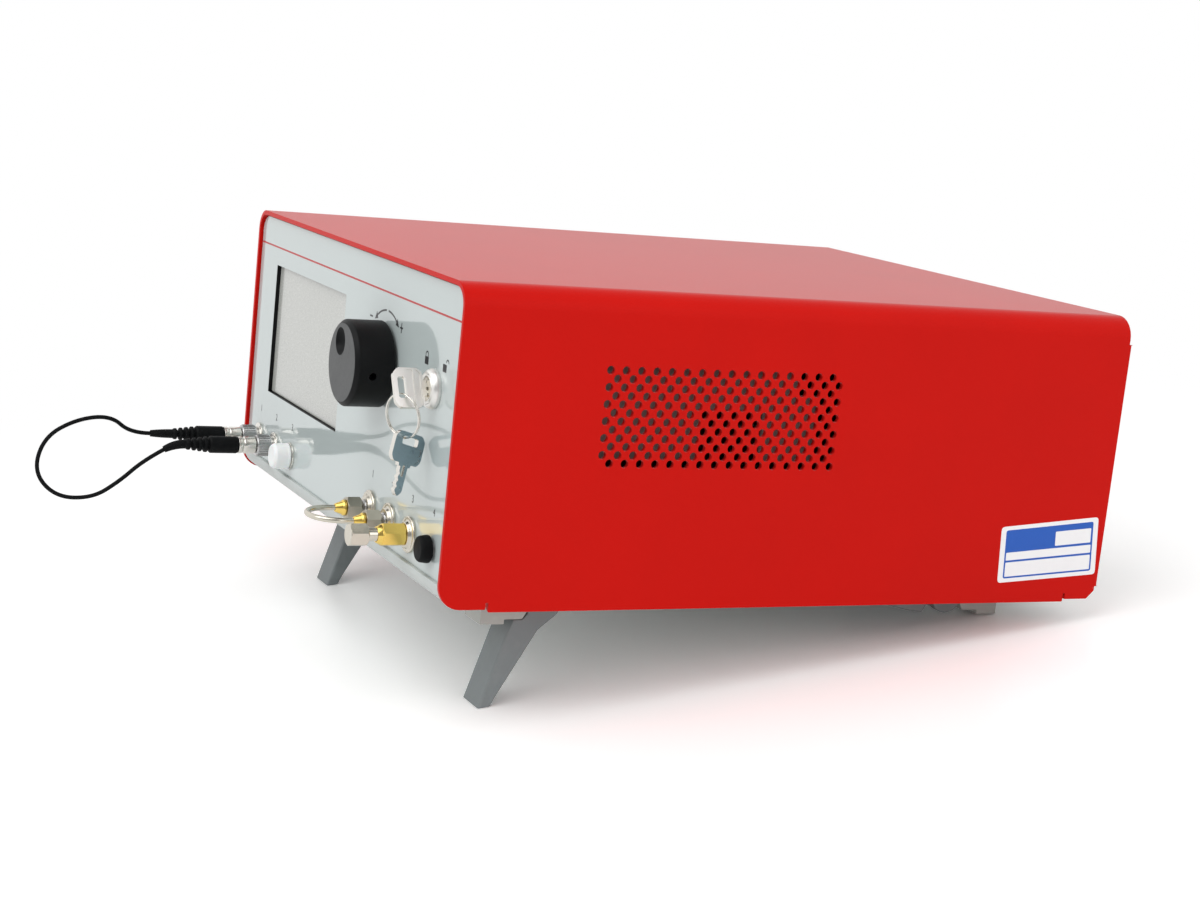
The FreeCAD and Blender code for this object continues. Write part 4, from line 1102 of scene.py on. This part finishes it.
def key_mesh():
    """A stamped key in millimetres: a bow with a raised border and a slot, and a notched, grooved blade."""
    outline = eased(KEY_OUTLINE, 0.9, closed=True)
    slot = eased(rectangle(*KEY_SLOT), 1.0, closed=True, steps=5)
    half = KEY_THICK / 2
    blank = helper_of(plate(outline, -half, half, [slot]).mesh("key_blank"))
    sunk = Shape()
    for low, high in ((half - KEY_SUNK, half + 1), (-half - 1, KEY_SUNK - half)):
        for field in KEY_FIELDS:
            sunk.add(plate(eased(field, 0.8, closed=True), low, high))
        sunk.add(plate(eased(rectangle(*KEY_GROOVE), 0.7, closed=True), low, high))
    helper = helper_of(cut_by(blank, sunk))
    smooth(helper.data, 30.0)
    ease_edges(helper, KEY_EASE, 2, 40.0)
    mesh = baked(helper)
    mesh.transform(Matrix(((0, 0, 1, 0), (1, 0, 0, 0), (0, 1, 0, 0), (0, 0, 0, 1))))
    return mesh


def hung_spare():
    """The place of the spare key, which hangs on the ring by the end of its slot and leans."""
    across, lean = math.radians(SPARE_ACROSS), math.radians(SPARE_LEAN)
    up = Vector((0, 0, 1))
    normal = Vector((math.cos(across), math.sin(across), 0))
    level = up.cross(normal)
    side = level * math.cos(lean) - up * math.sin(lean)
    along = level * math.sin(lean) + up * math.cos(lean)
    base = Vector(JOINTS["spare_swing"]["pos_m"]) + (side * SPARE_HOLD[0] - along * SPARE_HOLD[1]) * MM
    stand = Matrix((normal, side, along)).transposed().to_4x4()
    return Matrix.Translation(base) @ stand @ Matrix.Scale(MM, 4)


def dress_key(node, name, place, face_finish):
    """A key in its place, with its flat faces in one finish and its edges and groove bright."""
    mesh = key_mesh()
    sunk = KEY_THICK / 2 - KEY_SUNK / 2
    flat = []
    for face in mesh.polygons:
        groove = face.center.z < KEY_FIELDS[1][0][1] and abs(face.center.x) < sunk
        if abs(face.normal.x) > 0.8 and not groove:
            flat.append(face.index)
    mesh.transform(place)
    made = dress(node, name, mesh, "bright_nickel", face_finish)
    for count in flat:
        made.data.polygons[count].material_index = 1


def build_lock():
    """The lock with its turning plug, the key in it, the ring and the spare key."""
    place = on_front(LOCK_X, CONTROLS_Z)
    turned = place @ Matrix.Rotation(math.radians(KEY_TURN), 4, "Z")
    bezel = [(0, -24), (6, -24), (6, 0), (7.5, 0), (7.5, 1.4), (6.9, 2.6), (6.2, 3.2), (5.8, 3.2), (5.5, 2.7),
             (5.0, 2.7), (4.8, 3.1), (4.6, 3.1)]
    body = lathe(eased(bezel, 0.25) + [(4.6, -20), (0, -20)], segments=72)
    contacts = plate(eased(rectangle(0, 0, 14, 14), 1.0, closed=True), -34.0, -24.0)
    dress("lock_body", "lock_barrel", body.add(contacts).mesh("lock_barrel", place), "satin_nickel")
    dress("lock_plug", "lock_core", refined("lock_plug", 0.15), "warm_nickel")
    dress("lock_nut", "lock_back_nut", refined("lock_nut", 0.2), "plated_steel")
    dress_key("key", "key_stamped", turned, "satin_nickel")
    # The spare key's flat faces take a darker, bluish finish: a painted reflection of the shaded panel.
    dress_key("spare_key", "spare_stamped", hung_spare(), "spare_face")

    high, low = (Vector(JOINTS[name]["pos_m"]) for name in ("ring_swing", "spare_swing"))
    radius = (high - low).length / 2 / MM
    swing = Vector(JOINTS["spare_swing"]["axis"])
    up = Vector((0, 0, 1))
    stand = Matrix((swing, up, swing.cross(up))).transposed().to_4x4()
    place = Matrix.Translation((high + low) / 2) @ stand @ Matrix.Scale(MM, 4)
    wire = sizes()["ring_wire"]
    steps = 150
    coil = []
    for step in range(steps + 1):
        turn = math.radians(100 + 690 * step / steps)
        rise = 1.02 * wire * max(-1.0, min(1.0, (step / steps - 0.5) * 9))
        coil.append((radius * math.cos(turn), radius * math.sin(turn), rise))
    dress("key_ring", "split_ring", tube(coil, wire, 12).mesh("split_ring", place), "bright_nickel")


# Connectors and the patch lead.
RIB_COUNT = 26
HEXAGON_STANDS = -12.0
JUMPER_REACH = 30.0
LEAD_ROUTE = [
    (-105.2, -48.5, 19.2),
    (-105.2, -57.5, 19.2),
    (-102.8, -67.0, 27.2),
    (-99.8, -82.4, 25.9),
    (-96.7, -96.63, 18.4),
    (-93.6, -101.0, 3.7),
    (-90.8, -91.6, -6.7),
    (-87.9, -76.5, -6.4),
    (-85.1, -66.0, 1.6),
    (-82.3, -56.66, 11.6545),
    (-82.3, -48.0, 16.6545),
]
BOOT_START = 17.0
BOOT_END = 40.0
BOOT_BEND = 19.0


def boot_shape(bent):
    """A ribbed strain-relief boot with a straight or a drooping tail."""
    start, end = BOOT_START, BOOT_END
    profile = [(0, start), (3.3, start), (3.75, start + 0.6), (3.75, start + 12.3), (3.1, start + 13)]
    for count in range(4):
        height = start + 13 + 2.5 * count
        crest = 3.4 - 0.3 * count
        waist = crest - 0.9
        profile += [(waist, height + 0.15), (waist, height + 0.6), (crest, height + 0.9), (crest, height + 2.1)]
    profile += [(2, end), (2, end + 0.6), (0, end + 0.6)]
    shape = lathe(eased(profile, 0.3), segments=48)
    steps = 12
    if bent:
        path = [(0, BOOT_BEND * (math.cos(turn) - 1), end + BOOT_BEND * math.sin(turn))
                for turn in [math.radians(30 * step / steps) for step in range(steps + 1)]]
    else:
        path = [(0, 0, end + 10 * step / steps) for step in range(steps + 1)]
    radii = [2.0 - 0.55 * (step / steps) ** 2 for step in range(steps + 1)]
    return shape.add(tube(path, radii, 28))


def row_of(shape, total, step):
    """Like shapes in a line along x."""
    whole = Shape()
    for count in range(total):
        whole.add(shape, Matrix.Translation((step * count, 0, 0)))
    return whole


def build_fibre_ports():
    """The fibre sockets, the plugs and boots of the patch lead, the lead itself and the white cap."""
    at = sizes()
    place = on_front(FIBRE_X, FIBRE_Z)
    socket = [(1.27, -14), (4, -14), (4, 0), (5.9, 0), (5.9, 1), (4, 1), (4, 7), (1.27, 7)]
    socket = eased(socket, 0.2, closed=True)
    sockets = row_of(lathe(socket, closed=True, segments=48), 3, FIBRE_STEP)
    dress("fibre_sockets", "fibre_socket_set", sockets.mesh("fibre_socket_set", place), "bright_nickel")
    dress("fibre_socket_nuts", "fibre_back_nuts", refined("fibre_socket_nuts", 0.2), "plated_steel")
    plug = [(0, 0.5), (1.25, 0.5), (1.25, 7.2), (2.9, 7.2), (2.9, 9.2), (3.7, 9.4), (3.7, 14.2), (3.3, 14.5),
            (3.3, 15.0), (3.7, 15.3), (3.7, BOOT_START), (0, BOOT_START)]
    plugs = row_of(lathe(eased(plug, 0.2), segments=48), 2, FIBRE_STEP)
    plugs = dress("lead_plugs", "lead_plug_set", plugs.mesh("lead_plug_set", place), "bright_nickel")
    nut = [(4.06, 2.4), (4.35, 2.4), (4.55, 2.8), (4.55, 8.6), (4.25, 9), (3, 9), (3, 8.1), (4.06, 8.1)]
    ribs = {
        "Count": RIB_COUNT,
        "Radius": 4.5,
        "Size": (0.6, 0.55, 5.0),
        "Height": 5.7,
        "Material": finish("plated_steel"),
    }
    nut = with_tree(lathe(eased(nut, 0.15, closed=True), closed=True, segments=52).mesh("nut"), rib_tree(), ribs)
    whole = bmesh.new()
    for count in range(2):
        start = len(whole.verts)
        whole.from_mesh(nut)
        whole.verts.ensure_lookup_table()
        bmesh.ops.translate(whole, verts=whole.verts[start:], vec=(FIBRE_STEP * count, 0, 0))
    nuts = bpy.data.meshes.new("lead_nut_set")
    whole.to_mesh(nuts)
    whole.free()
    nuts.transform(place)
    smooth(nuts, 30.0)
    nuts = dress("lead_nuts", "lead_nut_set", nuts, "plated_steel")
    boots = boot_shape(False).add(boot_shape(True), Matrix.Translation((FIBRE_STEP, 0, 0)))
    boots = dress("lead_boots", "lead_boot_set", boots.mesh("lead_boot_set", place), "black_rubber")

    curve = bpy.data.curves.new("patch_lead", "CURVE")
    curve.dimensions = "3D"
    spline = curve.splines.new("NURBS")
    spline.points.add(len(LEAD_ROUTE) - 1)
    for point, spot in zip(spline.points, LEAD_ROUTE):
        point.co = (*(CASE @ Vector(spot)), 1)
    spline.order_u = 3
    spline.use_endpoint_u = True
    curve.resolution_u = 16
    curve.bevel_depth = at["lead_diameter"] / 2 * MM
    curve.bevel_resolution = 5
    curve.use_fill_caps = True
    lead = dress("lead_fibre", "patch_lead", curve, "black_rubber")
    at["lead_length"] * MM
    at["lead_diameter"] * MM
    cap = [(4.1, 1.2), (5.7, 1.2), (5.7, 2.2), (5.55, 2.5), (5.55, 7.3), (4.6, 8.6), (0, 8.6)]
    shape = lathe([(0, 7.4), (4.1, 7.4), (4.1, 1.2)] + eased(cap, 0.4)[1:], segments=64)
    place = on_front(FIBRE_X + FIBRE_STEP * 2, FIBRE_Z)
    dress("fibre_cap", "white_dust_cap", shape.mesh("white_dust_cap", place), "white_moulding")


def socket_barrel(out):
    """A threaded radio socket clamped behind the panel, out to a length."""
    profile = [(0, -14), (3, -14), (3, -6.5), (6, -6.5), (6, -3), (3.1, -3), (3.1, 2.6)]
    height = 2.7
    while height + 0.6 < out:
        profile += [(3.1, height), (2.85, height + 0.32)]
        height += 0.64
    return lathe(profile + [(3.1, out - 0.1), (0, out)], segments=40)


def build_radio_ports():
    """The radio sockets with their collars, the jumper, the load and the rubber cap."""
    place = on_front(RADIO_X, RADIO_Z)
    sockets = row_of(socket_barrel(8.6), 3, RADIO_STEP)
    sockets.add(socket_barrel(4.2), Matrix.Translation((RADIO_STEP * 3, 0, 0)))
    dress("rf_sockets", "radio_socket_set", sockets.mesh("radio_socket_set", place, 50.0), "plated_steel")
    collar = [(3.16, 0), (7, 0), (7, 0.9), (6.6, 1.35), (6.1, 1.1), (5.6, 1.1),
              (5.2, 1.5), (4.7, 2.6), (3.16, 2.6)]
    collars = row_of(lathe(eased(collar, 0.2, closed=True), closed=True, segments=64), 3, RADIO_STEP)
    dress("rf_socket_nuts", "radio_collar_set", collars.mesh("radio_collar_set", place), "warm_nickel")
    stood = Matrix.Rotation(math.radians(HEXAGON_STANDS), 4, "Z")
    nut = Shape().add(hexagon_bar(8.0, 4.4, 10.4, bore=3.16, chamfer=0.7), stood)
    nuts = row_of(nut, 2, RADIO_STEP)
    dress("jumper_nuts", "jumper_nut_set", nuts.mesh("jumper_nut_set", place, 30.0), "dull_nickel")
    ferrule = [(1.12, 8.65), (3, 8.65), (3, 8.9), (1.9, 8.9), (1.9, 10.5), (3.1, 10.5), (3.1, 11.4), (2.6, 11.9),
               (1.6, 14.6), (1.12, 14.6)]
    ferrules = row_of(lathe(eased(ferrule, 0.15, closed=True), closed=True, segments=40), 2, RADIO_STEP)
    dress("jumper_ferrules", "jumper_ferrule_set", ferrules.mesh("jumper_ferrule_set", place), "gold_plate")
    bend = RADIO_STEP / 2
    top = JUMPER_REACH - bend - 1.1
    path = [(0, 0, 8.7 + (top - 8.7) * step / 4) for step in range(4)]
    path += [(bend - bend * math.cos(turn), 0, top + bend * math.sin(turn))
             for turn in [math.pi * step / 40 for step in range(41)]]
    path += [(RADIO_STEP, 0, top - (top - 8.7) * step / 4) for step in range(1, 5)]
    dress("jumper_tube", "jumper_loop", tube(path, 1.1, 24).mesh("jumper_loop", place), "warm_nickel")

    place = on_front(RADIO_X + RADIO_STEP * 2, RADIO_Z)
    nut = Shape().add(hexagon_bar(8.0, 2.7, 11.6, bore=3.16, chamfer=0.5), stood)
    cone = lathe([(2.62, 11.5), (3.85, 11.5), (3.85, 11.9), (3.0, 13.4), (2.62, 13.4)], closed=True, segments=48)
    dress("terminator_nut", "load_nut", nut.add(cone).mesh("load_nut", place, 30.0), "gold_plate")
    neck = eased([(0, 8.65), (3.05, 8.65), (3.05, 8.9), (2.5, 8.9), (2.5, 17.4), (0, 17.4)], 0.12)
    neck = lathe(neck, segments=40)
    load = hexagon_bar(8.0, 17.2, 24.3, chamfer=0.6)
    dress("terminator_body", "load_body", neck.add(load, stood).mesh("load_body", place, 30.0), "warm_nickel")
    outer = [(3.16, 1), (5.0, 1), (5.2, 1.3), (5.2, 2.0), (4.85, 4.6), (4.2, 5.35), (0, 5.4)]
    seal = [(0, 4.3), (3.16, 4.3), (3.16, 1)] + eased(outer, 0.5)[1:]
    place = on_front(RADIO_X + RADIO_STEP * 3, RADIO_Z)
    dress("rf_cap", "rubber_dust_cap", lathe(seal, segments=64).mesh("rubber_dust_cap", place), "black_rubber")


PLAIN_PARTS = {
    "main_board": "board_lacquer",
    "power_supply": "plated_steel",
    "laser_module": "gold_plate",
    "modulator": "plated_steel",
    "amplifier": "plated_steel",
    "fan_frame": "black_moulding",
    "fan_rotor": "black_moulding",
    "fan_guard": "plated_steel",
    "inlet_housing": "black_moulding",
    "inlet_pins": "bright_nickel",
    "power_rocker": "black_moulding",
    "fuse_drawer": "black_moulding",
    "usb_socket": "bright_nickel",
    "interlock_jack": "black_moulding",
    "earth_socket": "bright_nickel",
}


def build_rear_and_modules():
    """The rear fittings and the modules inside, with their edges eased."""
    for node, finish_name in PLAIN_PARTS.items():
        dress(node, f"{node}_part", refined(node, 0.2), finish_name)


# Stage: the camera in the case's millimetres, the rest in metres.
CAMERA_AT = (824.9, -291.0, 201.4)
CAMERA_AHEAD = (-0.8806, 0.4398, -0.1764)
CAMERA_UP = (-0.2037, -0.0153, 0.9789)
CAMERA_LENS = 64.95
CAMERA_SENSOR = 36.0
FOOTPRINT_HALF = (0.114, 0.13, 1.0)
FLOOR_FADE = (0.02, 0.40)
FLOOR_TONES = [(0.92, 0.92, 0.915, 1), (1.26, 1.26, 1.255, 1)]
CEILING = (0.70, 0.90)
ROOM_SIDE = (0.88, -0.44, 0.18)
ROOM_EDGE = (0.45, 0.90)
ROOM_DIM = 0.7
SURROUND_LIGHT = 0.62
SEEN_RAYS = ("Is Camera Ray", "Is Glossy Ray", "Is Transmission Ray")
# Each lamp's name, place, aim, width and power in watts.
LAMPS = [
    ("key_light", (0.3, -0.9, 1.5), (0, 0, 0.05), 1.6, 14.0),
    ("side_light", (1.9, 0.6, 1.0), (0, 0, 0.08), 1.4, 9.0),
]


def build_stage():
    """The pale floor, the soft light, the bright surround and the camera."""
    scene = bpy.context.scene
    scene.view_settings.view_transform = "Standard"
    turn = CASE.to_3x3().normalized()
    ahead = turn @ Vector(CAMERA_AHEAD)
    up = turn @ Vector(CAMERA_UP)
    back = -ahead.normalized()
    right = up.cross(back).normalized()
    lens = bpy.data.cameras.new("camera")
    lens.lens = CAMERA_LENS
    lens.sensor_width = CAMERA_SENSOR
    camera = bpy.data.objects.new("camera", lens)
    scene.collection.objects.link(camera)
    facing = Matrix((right, back.cross(right), back)).transposed().to_4x4()
    camera.matrix_world = Matrix.Translation(CASE @ Vector(CAMERA_AT)) @ facing
    scene.camera = camera

    world = bpy.data.worlds.new("surround")
    world.use_nodes = True
    scene.world = world
    tree = Tree(world.node_tree)
    world.node_tree.nodes.clear()
    light = world.node_tree.nodes.new("ShaderNodeLightPath")
    seen = [Wire(tree, light.outputs[name]) for name in SEEN_RAYS]
    way = tree.add("ShaderNodeTexCoord", output=0)
    toward = {0: way, 1: tuple(Vector(ROOM_SIDE).normalized())}
    toward = tree.add("ShaderNodeVectorMath", {"operation": "DOT_PRODUCT"}, toward, output=1)
    dim = {"Value": toward, "From Min": ROOM_EDGE[0], "From Max": ROOM_EDGE[1]}
    dim = tree.add("ShaderNodeMapRange", {"interpolation_type": "SMOOTHSTEP"}, dim)
    above = tree.add("ShaderNodeVectorMath", {"operation": "DOT_PRODUCT"}, {0: way, 1: (0, 0, 1)}, output=1)
    above = {"Value": above, "From Min": CEILING[0], "From Max": CEILING[1]}
    above = tree.add("ShaderNodeMapRange", {"interpolation_type": "SMOOTHSTEP"}, above)
    shown = (1 - SURROUND_LIGHT) * (seen[0] + seen[1] + seen[2])
    strength = SURROUND_LIGHT + shown - seen[1] * (dim * ROOM_DIM + above * ROOM_DIM)
    surround = tree.add("ShaderNodeBackground", {}, {"Color": (1, 1, 1, 1), "Strength": strength})
    tree.add("ShaderNodeOutputWorld", {}, {"Surface": surround})

    made = Finish("floor_white", specular_ior_level=0.3)
    mottle = made.noise(6.0, 3.0)
    made.set(roughness=0.30 + mottle * 0.1)
    beyond = made.places
    for operation, value in (("ABSOLUTE", (0, 0, 0)), ("SUBTRACT", FOOTPRINT_HALF), ("MAXIMUM", (0, 0, 0))):
        beyond = made.add("ShaderNodeVectorMath", {"operation": operation}, {0: beyond, 1: value})
    away = made.add("ShaderNodeVectorMath", {"operation": "LENGTH"}, {0: beyond}, output=1)
    fade = {"Value": away, "From Min": FLOOR_FADE[0], "From Max": FLOOR_FADE[1]}
    fade = made.add("ShaderNodeMapRange", {"interpolation_type": "SMOOTHSTEP"}, fade)
    light = made.tree.nodes.new("ShaderNodeLightPath")
    seen = [Wire(made, light.outputs[name]) for name in SEEN_RAYS]
    made.set(base_color=made.blend(seen[0], *FLOOR_TONES))
    fade = made.add("ShaderNodeMath", {"operation": "MINIMUM"}, {0: fade * (seen[0] + seen[1] + seen[2]), 1: 1.0})
    bright = made.add("ShaderNodeEmission", {}, {"Color": (1, 1, 1, 1), "Strength": 1.0})
    shader = Wire(made, made.shader.outputs[0])
    mixed = made.add("ShaderNodeMixShader", {}, {0: fade, 1: shader, 2: bright})
    made.join(mixed, made.tree.nodes["Material Output"].inputs["Surface"])
    floor = Shape([(-6, -6, 0), (6, -6, 0), (6, 6, 0), (-6, 6, 0)], [(0, 1, 2, 3)]).mesh("floor")
    floor.materials.append(made.material)
    floor = bpy.data.objects.new("floor", floor)
    scene.collection.objects.link(floor)

    for name, place, aim, wide, power in LAMPS:
        lamp = bpy.data.lights.new(name, "AREA")
        lamp.energy = power
        lamp.size = wide
        lamp = bpy.data.objects.new(name, lamp)
        lamp.location = place
        lamp.rotation_euler = (Vector(aim) - Vector(place)).to_track_quat("-Z", "Y").to_euler()
        scene.collection.objects.link(lamp)


class TRANSMITTER_OT_stage(bpy.types.Operator):
    """Make the floor, the light and the camera"""

    bl_idname = "transmitter.stage"
    bl_label = "Build Stage"

    def execute(self, context):
        build_stage()
        return {"FINISHED"}


class TRANSMITTER_OT_cover(bpy.types.Operator):
    """Fold and punch the cover and set its screws"""

    bl_idname = "transmitter.cover"
    bl_label = "Build Cover"

    def execute(self, context):
        build_cover()
        return {"FINISHED"}


class TRANSMITTER_OT_chassis(bpy.types.Operator):
    """Finish the tray, the rear panel and the vent plate"""

    bl_idname = "transmitter.chassis"
    bl_label = "Build Chassis"

    def execute(self, context):
        build_chassis()
        return {"FINISHED"}


class TRANSMITTER_OT_panel(bpy.types.Operator):
    """Finish the front panel"""

    bl_idname = "transmitter.panel"
    bl_label = "Build Panel"

    def execute(self, context):
        build_panel()
        return {"FINISHED"}


class TRANSMITTER_OT_prints(bpy.types.Operator):
    """Print the panel's line, arrows, signs and numbers"""

    bl_idname = "transmitter.prints"
    bl_label = "Print Panel"

    def execute(self, context):
        build_prints()
        return {"FINISHED"}


class TRANSMITTER_OT_label(bpy.types.Operator):
    """Put the blank label on the cover"""

    bl_idname = "transmitter.label"
    bl_label = "Stick Label"

    def execute(self, context):
        build_label()
        return {"FINISHED"}


class TRANSMITTER_OT_display(bpy.types.Operator):
    """Finish the display"""

    bl_idname = "transmitter.display"
    bl_label = "Build Display"

    def execute(self, context):
        build_display()
        return {"FINISHED"}


class TRANSMITTER_OT_feet(bpy.types.Operator):
    """Finish the feet and the flip legs"""

    bl_idname = "transmitter.feet"
    bl_label = "Build Feet"

    def execute(self, context):
        build_feet()
        return {"FINISHED"}


class TRANSMITTER_OT_knob(bpy.types.Operator):
    """Turn the knob and finish its encoder"""

    bl_idname = "transmitter.knob"
    bl_label = "Build Knob"

    def execute(self, context):
        build_knob()
        return {"FINISHED"}


class TRANSMITTER_OT_lock(bpy.types.Operator):
    """Make the lock, its keys and their ring"""

    bl_idname = "transmitter.lock"
    bl_label = "Build Lock"

    def execute(self, context):
        build_lock()
        return {"FINISHED"}


class TRANSMITTER_OT_fibre_ports(bpy.types.Operator):
    """Make the fibre sockets, the patch lead and the cap"""

    bl_idname = "transmitter.fibre_ports"
    bl_label = "Build Fibre Ports"

    def execute(self, context):
        build_fibre_ports()
        return {"FINISHED"}


class TRANSMITTER_OT_radio_ports(bpy.types.Operator):
    """Make the radio sockets, the jumper, the load and the cap"""

    bl_idname = "transmitter.radio_ports"
    bl_label = "Build Radio Ports"

    def execute(self, context):
        build_radio_ports()
        return {"FINISHED"}


class TRANSMITTER_OT_rear(bpy.types.Operator):
    """Finish the rear fittings and the modules inside"""

    bl_idname = "transmitter.rear"
    bl_label = "Build Rear"

    def execute(self, context):
        build_rear_and_modules()
        return {"FINISHED"}


OPERATORS = [
    TRANSMITTER_OT_stage,
    TRANSMITTER_OT_cover,
    TRANSMITTER_OT_chassis,
    TRANSMITTER_OT_panel,
    TRANSMITTER_OT_prints,
    TRANSMITTER_OT_label,
    TRANSMITTER_OT_display,
    TRANSMITTER_OT_feet,
    TRANSMITTER_OT_knob,
    TRANSMITTER_OT_lock,
    TRANSMITTER_OT_fibre_ports,
    TRANSMITTER_OT_radio_ports,
    TRANSMITTER_OT_rear,
]


class TRANSMITTER_PT_panel(bpy.types.Panel):
    """Lists the building steps, sizes and colours."""

    bl_label = "Transmitter"
    bl_idname = "TRANSMITTER_PT_panel"
    bl_space_type = "VIEW_3D"
    bl_region_type = "UI"
    bl_category = "Transmitter"

    def draw(self, context):
        for item in OPERATORS:
            self.layout.operator(item.bl_idname)
        for group in (context.scene.transmitter_sizes, context.scene.transmitter_colours):
            for name in group.__annotations__:
                self.layout.prop(group, name)


CLASSES = [TransmitterSizes, TransmitterColours, *OPERATORS, TRANSMITTER_PT_panel]


def register():
    for item in CLASSES:
        bpy.utils.register_class(item)
    bpy.types.Scene.transmitter_sizes = PointerProperty(type=TransmitterSizes)
    bpy.types.Scene.transmitter_colours = PointerProperty(type=TransmitterColours)


def unregister():
    del bpy.types.Scene.transmitter_colours
    del bpy.types.Scene.transmitter_sizes
    for item in reversed(CLASSES):
        bpy.utils.unregister_class(item)


def main():
    """Builds every piece in order."""
    register()
    bpy.ops.transmitter.stage()
    bpy.ops.transmitter.cover()
    bpy.ops.transmitter.chassis()
    bpy.ops.transmitter.panel()
    bpy.ops.transmitter.prints()
    bpy.ops.transmitter.label()
    bpy.ops.transmitter.display()
    bpy.ops.transmitter.feet()
    bpy.ops.transmitter.knob()
    bpy.ops.transmitter.lock()
    bpy.ops.transmitter.fibre_ports()
    bpy.ops.transmitter.radio_ports()
    bpy.ops.transmitter.rear()


if __name__ == "__main__":
    main()
